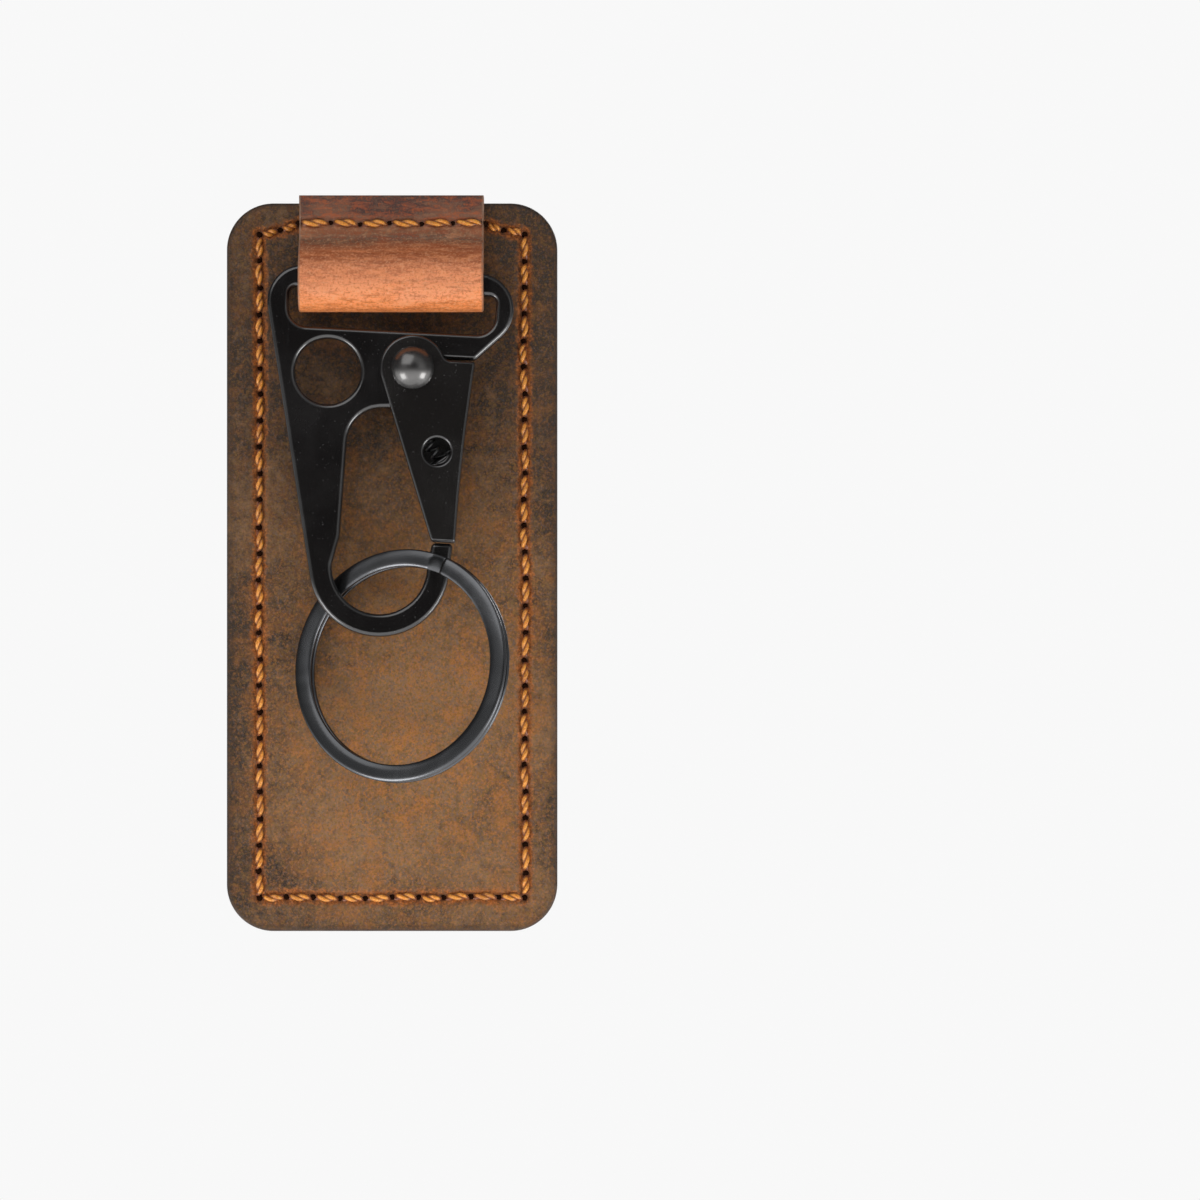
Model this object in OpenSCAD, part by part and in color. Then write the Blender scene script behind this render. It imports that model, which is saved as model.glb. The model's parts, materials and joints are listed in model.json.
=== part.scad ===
// Belt key clip: two leather panels sewn face to face, a spring clip riveted
// to the back for a belt, and a flat snap hook with a split ring hung from a
// strap loop on the front.
// Worn upright: +Z is up, the front faces -Y, X runs to the right in the front
// view. The origin is the inside top of the clip's fold, where a belt rests.

/* [Leather panels] */
// Width of both panels
panel_w = 45.4; // [40:0.1:60]
// Height of both panels
panel_h = 100; // [90:0.5:130]
// Radius of the panels' corners
panel_corner_r = 6.4; // [3:0.1:10]
// Thickness of the front panel
front_panel_t = 2; // [1.6:0.1:3]
// Thickness of the back panel
back_panel_t = 2; // [1.6:0.1:3]

/* [Seam] */
// Distance of the seam from the panels' side edges
seam_side_inset = 4.5; // [3.5:0.1:6]
// Distance of the seam's corners from the panels' top edge
seam_top_inset = 4.3; // [3.5:0.1:6]
// Distance of the seam from the panels' bottom edge
seam_bottom_inset = 4.6; // [3.5:0.1:6]
// How far the seam rises where it crosses the strap
seam_rise = 1.4; // [0:0.1:2]
// Distance from one stitch to the next
stitch_pitch = 3.55; // [2.5:0.05:5]
// Gap between two stitches, where the needle hole lies
stitch_gap = 0.65; // [0.4:0.05:1.2]
// Thickness of the thread on the front
front_thread_d = 0.9; // [0.6:0.05:1.2]
// Thickness of the thread on the back
back_thread_d = 0.7; // [0.5:0.05:1]
// Width of the pressed groove that the front seam lies in
front_groove_w = 1.4; // [1.3:0.1:3]
// Width of the pressed groove that the back seam lies in
back_groove_w = 2.6; // [1.5:0.1:3.5]
// Depth of the pressed grooves
groove_depth = 0.4; // [0.2:0.05:0.6]

/* [Strap loop] */
// Width of the strap
strap_w = 25.4; // [20:0.1:27]
// Thickness of the strap's leather
strap_t = 1.7; // [1.2:0.1:2]
// Inside radius of the loop round the hook's bar
loop_bore_r = 2.1; // [2.1:0.05:2.6]
// Straight run between the loop's lower and upper bends
loop_slack = 1.4; // [1.2:0.1:3]
// How far the lower bend's middle lies below the bar
loop_sag = 0.6; // [0.6:0.05:0.8]
// Lean of the front layer on its way back to the panel, in degrees
loop_lean = 50; // [40:1:60]
// Bend radius where the front layer leaves and meets the seam
loop_bend_r = 2.4; // [1.8:0.1:3]
// How far the strap's ends stand above the panels
strap_over = 0.9; // [0:0.1:2]
// Distance from the panels' top edge down to the hook's bar
bar_drop = 10.75; // [10.5:0.05:14]

/* [Belt clip] */
// Width of the clip's strip
clip_w = 24; // [18:0.5:30]
// Thickness of the clip's spring steel
clip_t = 0.9; // [0.7:0.1:1.2]
// Gap inside the fold, for the belt
belt_gap = 6; // [5:0.1:8]
// Distance from the fold's top to the end of the lip
clip_h = 60; // [54:0.5:70]
// Distance from the fold's top to the crease
crease_drop = 48; // [40:0.5:50]
// Inside bend radius of the crease
crease_r = 2; // [1:0.1:3]
// Flare of the lip, in degrees
lip_flare = 35; // [20:1:45]
// Radius of the lip's corners
lip_corner_r = 4; // [2:0.1:6]
// Gap between the crease and the clip's base
crease_gap = 0.3; // [0.2:0.05:1]
// Height of the clip's flat base, from the fold's top
clip_base_h = 51; // [50.5:0.5:53]
// Distance of the fold's top below the panels' top edge
clip_inset = 8; // [6:0.5:12]
// Angle by which the fold ends short of the base, in degrees
fold_seam = 12; // [9:0.5:15]

/* [Clip rivets] */
// Distance from the fold's top to each rivet
rivet_drops = [16, 34];
// Shank radius of the clip's rivets
clip_rivet_r = 1.2; // [1:0.1:1.5]
// Head radius of the clip's rivets
clip_rivet_head_r = 2.7; // [2:0.1:3.5]
// Head height of the clip's rivets
clip_rivet_head_h = 0.7; // [0.4:0.1:0.9]
// Radius of the spread end of the clip's rivets
clip_rivet_tail_r = 1.9; // [1.6:0.1:2.4]
// Height of the spread end of the clip's rivets
clip_rivet_tail_h = 0.3; // [0.2:0.05:0.4]
// Radius of the washer under the spread end
washer_r = 3.5; // [3:0.1:4.5]
// Thickness of that washer
washer_t = 0.5; // [0.4:0.05:0.6]
// Clearance round the washer in its pocket
pocket_gap = 0.2; // [0.1:0.05:0.4]

/* [Snap hook] */
// Thickness of the hook's plate
hook_t = 2.2; // [2:0.1:2.3]
// Lean of the hanging hook in the plane of the panels, in degrees
hook_lean = 2.9; // [0:0.1:4]
// Forward tilt of the hanging hook where the ring lifts it, in degrees
hook_tilt = 1.8; // [1.6:0.1:3]
// Height of the bar that the strap goes round
bar_h = 3.1; // [2.6:0.1:3.1]
// Width of the strap slot
slot_w = 28.3; // [28:0.1:32]
// Height of the strap slot
slot_h = 5.35; // [5.2:0.05:6.5]
// Corner radius at the top of the slot
slot_top_r = 1; // [0.6:0.1:1.2]
// Corner radius at the bottom of the slot
slot_bottom_r = 2.5; // [1.5:0.1:2.8]
// Distance of the slot's middle to the right of the strap's middle
slot_shift = 0.35; // [0:0.05:0.5]
// Width of the plate left of the slot
slot_wall_left = 3; // [2.5:0.1:4]
// Width of the plate right of the slot
slot_wall_right = 2.5; // [2:0.1:4]
// Outside radius of the hook's upper corners
hook_corner_r = 5; // [4:0.1:6]
// Distance from the bar down to the shoulder over the gate's heel
shoulder_drop = 10.45; // [10.25:0.05:10.85]
// Slope of the edge from the right corner to the shoulder, in degrees
shoulder_slope = 45; // [35:1:55]
// Radius of the round lanyard hole
lanyard_r = 4.5; // [4:0.1:4.8]
// Distance of the lanyard hole to the left of the strap's middle
lanyard_x = 8; // [7.6:0.1:8.2]
// Metal left between the slot and the lanyard hole
lanyard_wall = 1.55; // [1.3:0.05:1.8]
// Distance from the bar down to the top of the eye
eye_drop = 17.55; // [17.25:0.05:18.3]
// Corner radius at the top of the eye
eye_corner_r = 4.8; // [3.5:0.1:5]
// Distance of the eye's left edge from the strap's middle, at its top
eye_left = 4.9; // [4.5:0.1:5.2]
// The same distance at the neck over the bow
neck_left = 5.2; // [5:0.1:5.6]
// Height of the neck over the bow's centre
neck_h = 3.8; // [3:0.1:5]
// Distance from the bar down to the bow's centre
bow_drop = 39.25; // [37.85:0.05:41.8]
// Distance of the bow's centre to the right of the strap's middle
bow_shift = 0.4; // [0:0.1:1]
// Outside radius of the bow
bow_r = 9.6; // [9.2:0.1:10.5]
// Width of the bow's band
bow_band = 3.1; // [2.6:0.1:3.3]
// Height of the hook's tip over the bow's centre
tip_h = 3.6; // [3:0.1:4]
// Sideways lean of the tip's outer and inner edges
tip_leans = [0.3, 0.5];

/* [Gate] */
// Distance of the gate's pivot to the right of the strap's middle
pivot_x = 3.6; // [3:0.1:4]
// Gap between the slot and the gate's round end
gate_top_gap = 0.5; // [0.3:0.1:0.8]
// Radius of the gate's round end
gate_r = 4.5; // [4.2:0.1:4.8]
// Thickness of the gate's two cheeks
cheek_t = 0.8; // [0.6:0.05:0.9]
// Thickness of the gate's outer web
web_t = 0.9; // [0.7:0.05:1.1]
// Gap between each cheek and the plate
cheek_gap = 0.1; // [0.08:0.01:0.15]
// Distance from the pivot to the heel's outer corner
heel_reach = 8.5; // [8:0.1:9]
// Gap between the heel and the shoulder that stops it
heel_gap = 0.25; // [0.1:0.05:0.4]
// Fillet between the round end and the heel
heel_fillet_r = 1.2; // [0.8:0.1:1.6]
// Width of the gate's nose
nose_w = 3.3; // [2.8:0.1:3.6]
// How far the nose stands out past the hook's tip
nose_over = 0.3; // [0:0.1:0.5]
// Gap between the nose's end and the hook's tip
nose_gap = 0.15; // [0.1:0.05:0.3]
// Hollow of the gate's outer edge between heel and nose
edge_hollow = 0.6; // [0:0.1:0.8]
// How far the web ends above the nose's end
web_end = 1; // [0.8:0.1:2]
// Radius of the small hole in the front cheek
gate_hole_r = 1.85; // [1.2:0.05:2]
// Distance of that hole below the pivot
gate_hole_drop = 11.3; // [10:0.1:12]
// Distance of that hole to the right of the pivot
gate_hole_x = 3.9; // [3.5:0.1:4.2]

/* [Gate rivet] */
// Radius of the pivot shank
pivot_r = 1.5; // [1.2:0.1:2]
// Running clearance round the shank in the gate
pivot_gap = 0.06; // [0.03:0.01:0.1]
// Radius of the domed head
dome_r = 3; // [2.6:0.1:3.4]
// Height of the domed head
dome_h = 1.8; // [1.2:0.1:2]
// Radius of the rear head
rear_head_r = 2.5; // [2.2:0.1:3]
// Height of the rear head
rear_head_h = 0.8; // [0.5:0.1:1]

/* [Gate spring] */
// Radius of the boss that the gate turns round
boss_r = 4; // [3.6:0.1:4.1]
// Angle of the spring from the vertical, in degrees
spring_angle = 38; // [32:1:42]
// Distance of the spring seat's lower end to the left of the pivot
seat_left = 2.1; // [1.8:0.1:2.4]
// Width of the spring seats
seat_w = 2.6; // [2.4:0.1:2.8]
// Length of the spring with the gate shut
spring_len = 9; // [8:0.1:9.4]
// Outside radius of the spring
spring_r = 1; // [0.8:0.05:1.05]
// Wire thickness of the spring
spring_wire = 0.35; // [0.3:0.05:0.4]
// Number of turns of the spring
spring_turns = 7; // [5:1:8]
// Gap at each end of the spring
spring_gap = 0.1; // [0.05:0.05:0.2]

/* [Split ring] */
// Outside diameter of the ring
ring_od = 32; // [30:0.5:34]
// Width of the ring's flat wire
ring_w = 2.4; // [2:0.1:2.6]
// Thickness of one coil
ring_wire_t = 0.85; // [0.7:0.05:0.9]
// Gap between the two coils
coil_gap = 0.1; // [0.08:0.01:0.2]
// Angle taken by the step from one coil to the other, in degrees
step_angle = 9; // [7:0.5:14]
// Place of the cut end on the ring, in degrees from the right
cut_angle = 66; // [50:1:80]
// Tilt of the resting ring out of the panels' plane, in degrees
ring_tilt = 26; // [25:0.1:27.5]
// Direction of the line that the ring is tilted about, in degrees from the right
ring_tilt_line = 73; // [70:0.5:76]
// Place on the ring of the point that passes behind the bow, in degrees
ring_pass_angle = 146; // [140:1:152]
// Place on the bow of that same point, in degrees
bow_pass_angle = 219; // [212:1:226]
// Gap between the ring and the front panel
ring_rest_gap = 0.35; // [0.3:0.05:0.6]

/* [Hidden] */
$fn = 64;

// Overrun of every cut
cut = 0.5;
// Gap left under the thread and under rivet heads
seat_gap = 0.05;
// Steps in a quarter turn of an outline's arc
quarter_steps = 12;
// Facets round the thread
thread_facets = 16;

// Colours, as red, green and blue shares
leather_colour_shares = [0.36, 0.25, 0.15];
strap_colour_shares = [0.72, 0.42, 0.27];
thread_colour_shares = [0.8, 0.5, 0.2];
black_colour_shares = [0.08, 0.08, 0.09];
ring_colour_shares = [0.24, 0.25, 0.27];
spring_colour_shares = [0.6, 0.6, 0.6];

// Planes along Y, from the back to the front
clip_base_back_y = -belt_gap / 2;
panel_back_y = clip_base_back_y - clip_t;
panel_inner_y = panel_back_y - back_panel_t;
panel_front_y = panel_inner_y - front_panel_t;

// Heights along Z
fold_z = -belt_gap / 2;
clip_top_z = clip_t;
panel_top_z = clip_top_z + clip_inset;
panel_bottom_z = panel_top_z - panel_h;
bar_z = panel_top_z - bar_drop;
bar_y = panel_front_y - strap_t - loop_bore_r;

// Seam corners, right half
seam_x = panel_w / 2 - seam_side_inset;
seam_top_z = panel_top_z - seam_top_inset;
seam_bottom_z = panel_bottom_z + seam_bottom_inset;
seam_strap_z = seam_top_z + seam_rise;

// Hook outline, in the hook's own frame with its bar at the origin
slot_left_x = slot_shift - slot_w / 2;
slot_right_x = slot_shift + slot_w / 2;
slot_bottom_z = -bar_h / 2 - slot_h;
left_corner = [slot_left_x - slot_wall_left + hook_corner_r, bar_h / 2 - hook_corner_r];
right_corner = [slot_right_x + slot_wall_right - hook_corner_r, bar_h / 2 - hook_corner_r];
bow = [bow_shift, -bow_drop];
bow_inner_r = bow_r - bow_band;
tip_z = tip_h - bow_drop;
tip_outer_x = bow[0] + bow_r + tip_leans[0];
tip_inner_x = bow[0] + bow_inner_r + tip_leans[1];
lanyard = [-lanyard_x, slot_bottom_z - lanyard_wall - lanyard_r];
pivot = [pivot_x, slot_bottom_z - gate_top_gap - gate_r];
left_edge_angle = tangent_angle(left_corner, hook_corner_r, bow, bow_r);
shoulder_x = right_corner[0] + (hook_corner_r - (shoulder_drop + right_corner[1]) * cos(shoulder_slope))
    / sin(shoulder_slope);
boss_top_angle = asin((-shoulder_drop - pivot[1]) / boss_r);

// Gate outline, in the same frame
heel = [pivot[0] + heel_reach, -shoulder_drop - heel_gap];
nose_right = [tip_outer_x + nose_over, tip_z + nose_gap];
nose_left = [nose_right[0] - nose_w, nose_right[1]];
nose_reach = norm(nose_left - pivot);
gate_left_angle = atan2(nose_left[1] - pivot[1], nose_left[0] - pivot[0]) - acos(gate_r / nose_reach);
fillet_z = heel[1] + heel_fillet_r;
fillet_rise = asin((fillet_z - pivot[1]) / (gate_r + heel_fillet_r));
fillet = [pivot[0] + (gate_r + heel_fillet_r) * cos(fillet_rise), fillet_z];
channel_w = hook_t + 2 * cheek_gap;
gate_hole = [pivot[0] + gate_hole_x, pivot[1] - gate_hole_drop];

// Spring line, from the seat on the boss to the seat on the web
spring_way = [sin(spring_angle), -cos(spring_angle)];
spring_side = [cos(spring_angle), sin(spring_angle)];
boss_seat_low = [pivot[0] - seat_left, -eye_drop];
boss_seat_high = boss_seat_low + seat_w * spring_side;
spring_start = (boss_seat_low + boss_seat_high) / 2 + spring_gap * spring_way;
spring_end = spring_start + spring_len * spring_way;
gate_seat = spring_end + spring_gap * spring_way;

// Split ring
ring_mid_r = (ring_od - ring_w) / 2;
ring_t = 2 * ring_wire_t + coil_gap;
ring_centre_y = panel_front_y - ring_rest_gap - ring_od / 2 * sin(ring_tilt) - ring_t / 2 * cos(ring_tilt);
bow_pass = bow + bow_r * [cos(bow_pass_angle), sin(bow_pass_angle)];
bow_pass_x = bow_pass[0] * cos(hook_lean) + bow_pass[1] * sin(hook_lean);
bow_pass_z = bar_z - bow_pass[0] * sin(hook_lean) + bow_pass[1] * cos(hook_lean);
along_tilt_line = ring_mid_r * cos(ring_pass_angle - ring_tilt_line);
across_tilt_line = ring_mid_r * sin(ring_pass_angle - ring_tilt_line) * cos(ring_tilt);
ring_centre_x = bow_pass_x - along_tilt_line * cos(ring_tilt_line) + across_tilt_line * sin(ring_tilt_line);
ring_centre_z = bow_pass_z - along_tilt_line * sin(ring_tilt_line) - across_tilt_line * cos(ring_tilt_line);

// Belt clip's arm, where its line touches the fold's and the crease's arcs
fold_r = (belt_gap + clip_t) / 2;
crease_mid_r = crease_r + clip_t / 2;
crease_centre = [clip_base_back_y + crease_gap + clip_t / 2 + crease_mid_r, clip_top_z - crease_drop];
arm_way = crease_centre - [0, fold_z];
arm_slope = atan2(arm_way[1], arm_way[0]) + acos((fold_r + crease_mid_r) / norm(arm_way));
lip_angle = 180 + lip_flare;
lip_start = crease_centre + crease_mid_r * [cos(lip_angle), sin(lip_angle)];
lip_len = (lip_start[1] - (clip_top_z - clip_h)) / cos(lip_flare);
lip_end = lip_start + lip_len * [sin(lip_flare), -cos(lip_flare)];

// Points on an arc round c, from one angle to another
function arc(c, r, from, to) =
    let (steps = max(2, ceil(abs(to - from) / 90 * quarter_steps)))
    [for (i = [0:steps]) c + r * [cos(from + (to - from) * i / steps), sin(from + (to - from) * i / steps)]];

// Angle of the outward normal of the left tangent from circle a down to circle b
function tangent_angle(a, ra, b, rb) =
    360 + atan2(b[1] - a[1], b[0] - a[0]) - acos((ra - rb) / norm(b - a));

// Path of an arc's middle line as [point, side angle], for strips of one thickness
function bend(c, r, from, to, side) =
    let (steps = max(2, ceil(abs(to - from) / 90 * quarter_steps)))
    [for (i = [0:steps]) let (a = from + (to - from) * i / steps) [c + r * [cos(a), sin(a)], a + side]];

// Outline of a strip of thickness t along such a path
function strip(path, t) = concat(
    [for (p = path) p[0] + t / 2 * [cos(p[1]), sin(p[1])]],
    [for (i = [len(path) - 1:-1:0]) path[i][0] - t / 2 * [cos(path[i][1]), sin(path[i][1])]]
);

// Flat shape in the XZ plane, grown forward from y
module plate(y, t) {
    translate([0, y, 0]) rotate([90, 0, 0]) linear_extrude(t) children();
}

// Profile in the YZ plane, grown along X and centred
module strip_across(w) {
    translate([-w / 2, 0, 0]) rotate([90, 0, 90]) linear_extrude(w) children();
}

// Round bar along Y at a point of the XZ plane, grown forward from y
module pin(at, y, r, h) {
    translate([at[0], y, at[1]]) rotate([90, 0, 0]) cylinder(r = r, h = h);
}

// Frame of the hanging hook: its bar lies along X at the origin
module hook_frame() {
    translate([0, bar_y, bar_z]) rotate([-hook_tilt, hook_lean, 0]) children();
}

// Rectangle with round corners, centred on x and hung from z
module rounded_sheet(w, h, r, top_z) {
    translate([-w / 2 + r, top_z - h]) square([w - 2 * r, h]);
    translate([-w / 2, top_z - h + r]) square([w, h - 2 * r]);
    for (x = [-w / 2 + r, w / 2 - r]) {
        for (z = [top_z - h + r, top_z - r]) {
            translate([x, z]) circle(r = r);
        }
    }
}

// Seam on a leather face: down the left side, along the bottom and up the right
seam_sides = [
    [[-seam_x, seam_top_z], [-seam_x, seam_bottom_z]],
    [[-seam_x, seam_bottom_z], [seam_x, seam_bottom_z]],
    [[seam_x, seam_bottom_z], [seam_x, seam_top_z]]
];
// Short rises beside the strap, and the run across it
strap_edge_x = strap_w / 2;
seam_rises = [
    [[-seam_x, seam_top_z], [-strap_edge_x, seam_strap_z]],
    [[strap_edge_x, seam_strap_z], [seam_x, seam_top_z]]
];
seam_cross = [[[-strap_edge_x, seam_strap_z], [strap_edge_x, seam_strap_z]]];

// Pressed groove along the lines of a seam
module groove(lines, w) {
    for (line = lines) {
        run = line[1] - line[0];
        translate(line[0]) rotate(atan2(run[1], run[0])) translate([-w / 2, -w / 2])
            square([norm(run) + w, w]);
    }
}

// Stitches along the lines of a seam, lying on the floor of its groove
module stitches(lines, floor_y, d, forward) {
    for (line = lines) {
        run = line[1] - line[0];
        count = max(1, round(norm(run) / stitch_pitch));
        step = run / count;
        rod = norm(step) - stitch_gap - d;
        for (i = [0:count - 1]) {
            middle = line[0] + step * (i + 1 / 2);
            translate([middle[0], floor_y + forward * (d / 2 + seat_gap), middle[1]])
                rotate([0, 90 - atan2(run[1], run[0]), 0]) {
                    cylinder(d = d, h = rod, center = true, $fn = thread_facets);
                    for (end = [-1, 1]) {
                        translate([0, 0, end * rod / 2]) sphere(d = d, $fn = thread_facets);
                    }
                }
        }
    }
}

module front_panel() {
    color(leather_colour_shares)
    difference() {
        plate(panel_inner_y, front_panel_t) rounded_sheet(panel_w, panel_h, panel_corner_r, panel_top_z);
        plate(panel_front_y + groove_depth, groove_depth + cut) difference() {
            groove(concat(seam_sides, seam_rises), front_groove_w);
            translate([-strap_edge_x, seam_top_z - cut]) square([strap_w, panel_top_z - seam_top_z]);
        }
    }
}

module back_panel() {
    color(leather_colour_shares)
    difference() {
        plate(panel_back_y, back_panel_t) rounded_sheet(panel_w, panel_h, panel_corner_r, panel_top_z);
        plate(panel_back_y + cut, groove_depth + cut)
            groove(concat(seam_sides, seam_rises, seam_cross), back_groove_w);
        for (drop = rivet_drops) {
            at = [0, clip_top_z - drop];
            pin(at, panel_back_y + cut, clip_rivet_r + seat_gap, back_panel_t + 2 * cut);
            pin(at, panel_inner_y + washer_t + clip_rivet_tail_h + pocket_gap, washer_r + pocket_gap,
                back_panel_t);
        }
    }
}

// Strap path in the YZ plane, with y measured forward from the panel and z from the bar
loop_shift = loop_bore_r + strap_t / 2;
loop_front = strap_t + loop_bore_r + loop_shift;
join_front = 3 / 2 * strap_t + seat_gap;
lean_run = (loop_front - join_front - 2 * loop_bend_r * (1 - cos(loop_lean))) / sin(loop_lean);
upper_bend = [loop_front - loop_bend_r, loop_slack - loop_sag];
lean_end = upper_bend + loop_bend_r * [cos(loop_lean), sin(loop_lean)]
    + lean_run * [-sin(loop_lean), cos(loop_lean)];
lower_bend = lean_end + loop_bend_r * [cos(loop_lean), sin(loop_lean)];
strap_top = bar_drop + strap_over;
strap_path = concat(
    [[[strap_t / 2, strap_top], 180]],
    bend([strap_t + loop_bore_r, -loop_sag], loop_shift, 180, 360, 0),
    bend(upper_bend, loop_bend_r, 0, loop_lean, 0),
    bend(lower_bend, loop_bend_r, 180 + loop_lean, 180, 180),
    [[[join_front, strap_top], 0]]
);

module hook_loop() {
    color(strap_colour_shares)
    difference() {
        translate([0, panel_front_y, bar_z]) mirror([0, 1, 0]) strip_across(strap_w)
            polygon(strip(strap_path, strap_t));
        plate(panel_front_y - 2 * strap_t + groove_depth, groove_depth + cut)
            groove(seam_cross, front_groove_w);
    }
}

module front_stitches() {
    color(thread_colour_shares) {
        stitches(concat(seam_sides, seam_rises), panel_front_y + groove_depth, front_thread_d, -1);
        stitches(seam_cross, panel_front_y - 2 * strap_t + groove_depth, front_thread_d, -1);
    }
}

module back_stitches() {
    color(thread_colour_shares)
    stitches(concat(seam_sides, seam_rises, seam_cross), panel_back_y - groove_depth, back_thread_d, 1);
}

module clip_base() {
    color(black_colour_shares)
    difference() {
        plate(clip_base_back_y, clip_t)
            translate([-clip_w / 2, clip_top_z - clip_base_h])
                square([clip_w, clip_base_h - clip_top_z + fold_z]);
        for (drop = rivet_drops) {
            pin([0, clip_top_z - drop], clip_base_back_y + cut, clip_rivet_r + seat_gap, clip_t + 2 * cut);
        }
    }
}

arm_path = concat(
    bend([0, fold_z], fold_r, 180 - fold_seam, arm_slope, 0),
    bend(crease_centre, crease_mid_r, 180 + arm_slope, lip_angle, 180),
    [[lip_end, lip_angle + 180]]
);

module clip_arm() {
    color(black_colour_shares)
    intersection() {
        strip_across(clip_w) polygon(strip(arm_path, clip_t));
        plate(belt_gap + clip_h, 2 * (belt_gap + clip_h)) {
            rounded_sheet(clip_w, clip_h, lip_corner_r, clip_top_z);
            translate([-clip_w / 2, fold_z]) square([clip_w, clip_top_z - fold_z + cut]);
        }
    }
}

module clip_rivets() {
    color(black_colour_shares)
    for (drop = rivet_drops) {
        at = [0, clip_top_z - drop];
        pin(at, clip_base_back_y + clip_rivet_head_h, clip_rivet_head_r, clip_rivet_head_h);
        pin(at, clip_base_back_y, clip_rivet_r, clip_t + back_panel_t - pocket_gap);
        pin(at, panel_inner_y + pocket_gap + clip_rivet_tail_h, clip_rivet_tail_r, clip_rivet_tail_h);
    }
}

module rivet_caps() {
    color(black_colour_shares)
    for (drop = rivet_drops) {
        at = [0, clip_top_z - drop];
        difference() {
            pin(at, panel_inner_y + pocket_gap + clip_rivet_tail_h + washer_t, washer_r, washer_t);
            pin(at, panel_back_y, clip_rivet_r + seat_gap, back_panel_t);
        }
    }
}

// Outline of the hook's plate, round the open eye
hook_outline = concat(
    arc(left_corner, hook_corner_r, 90, left_edge_angle),
    arc(bow, bow_r, left_edge_angle, 360),
    [[tip_outer_x, tip_z], [tip_inner_x, tip_z]],
    arc(bow, bow_inner_r, 360, 180),
    [[-neck_left, neck_h - bow_drop]],
    arc([eye_corner_r - eye_left, -eye_drop - eye_corner_r], eye_corner_r, 180, 90),
    [boss_seat_low, boss_seat_high],
    arc(pivot, boss_r, -90, boss_top_angle),
    [[shoulder_x, -shoulder_drop]],
    arc(right_corner, hook_corner_r, -shoulder_slope, 90)
);

// Outline of the strap slot, from its lower left corner round
slot_outline = concat(
    arc([slot_left_x, slot_bottom_z] + slot_bottom_r * [1, 1], slot_bottom_r, 180, 270),
    arc([slot_right_x, slot_bottom_z] + slot_bottom_r * [-1, 1], slot_bottom_r, 270, 360),
    arc([slot_right_x, -bar_h / 2] + slot_top_r * [-1, -1], slot_top_r, 0, 90),
    arc([slot_left_x, -bar_h / 2] + slot_top_r * [1, -1], slot_top_r, 90, 180)
);

module hook_body() {
    color(black_colour_shares)
    hook_frame() plate(hook_t / 2, hook_t) difference() {
        polygon(hook_outline);
        polygon(slot_outline);
        translate(lanyard) circle(r = lanyard_r);
        translate(pivot) circle(r = pivot_r + seat_gap);
    }
}

// Point on the gate's outer edge, from the heel at 0 to the nose at 1
function gate_edge(share) =
    (1 - share) * (1 - share) * heel
    + 2 * share * (1 - share) * ((heel + nose_right) / 2 - [edge_hollow, 0])
    + share * share * nose_right;

edge_steps = 8;
last_corner = gate_edge(1 - 1 / edge_steps);
web_corner = nose_right + (last_corner - nose_right) * web_end / (last_corner[1] - nose_right[1]);
web_edge = concat([for (i = [0:edge_steps - 1]) gate_edge(i / edge_steps)], [web_corner]);
gate_outline = concat(
    arc(pivot, gate_r, fillet_rise, 360 + gate_left_angle),
    [nose_left],
    [for (i = [edge_steps:-1:0]) gate_edge(i / edge_steps)],
    arc(fillet, heel_fillet_r, 270, 180 + fillet_rise)
);
web_outline = concat(web_edge, [for (i = [edge_steps:-1:0]) web_edge[i] - [web_t, 0]]);
// Bent lug between the cheeks that the spring pushes on
lug_reach = gate_edge(1 / 2)[0] - web_t / 2;
gate_lug = [
    gate_seat - seat_w / 2 * spring_side,
    gate_seat + seat_w / 2 * spring_side,
    [lug_reach, gate_seat[1] + seat_w / 2 * spring_side[1]],
    [lug_reach, gate_seat[1] - seat_w]
];

module gate() {
    color(black_colour_shares)
    hook_frame() {
        difference() {
            for (side = [-1, 1]) {
                plate((side * (channel_w + cheek_t) + cheek_t) / 2, cheek_t) difference() {
                    polygon(gate_outline);
                    translate(pivot) circle(r = pivot_r + pivot_gap);
                }
            }
            pin(gate_hole, -channel_w / 2 + cut / 2, gate_hole_r, cheek_t + cut);
        }
        plate(channel_w / 2, channel_w) {
            polygon(web_outline);
            polygon(gate_lug);
        }
    }
}

// Ball radius of the dome, from its height and radius
dome_ball_r = (dome_r * dome_r + dome_h * dome_h) / (2 * dome_h);

module gate_rivet() {
    head_y = channel_w / 2 + cheek_t + seat_gap;
    color(black_colour_shares)
    hook_frame() {
        pin(pivot, head_y + rear_head_h, rear_head_r, rear_head_h);
        pin(pivot, head_y, pivot_r, 2 * head_y);
        intersection() {
            translate([pivot[0], dome_ball_r - dome_h - head_y, pivot[1]]) sphere(r = dome_ball_r);
            pin(pivot, -head_y, dome_r + cut, dome_h + cut);
        }
    }
}

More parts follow.
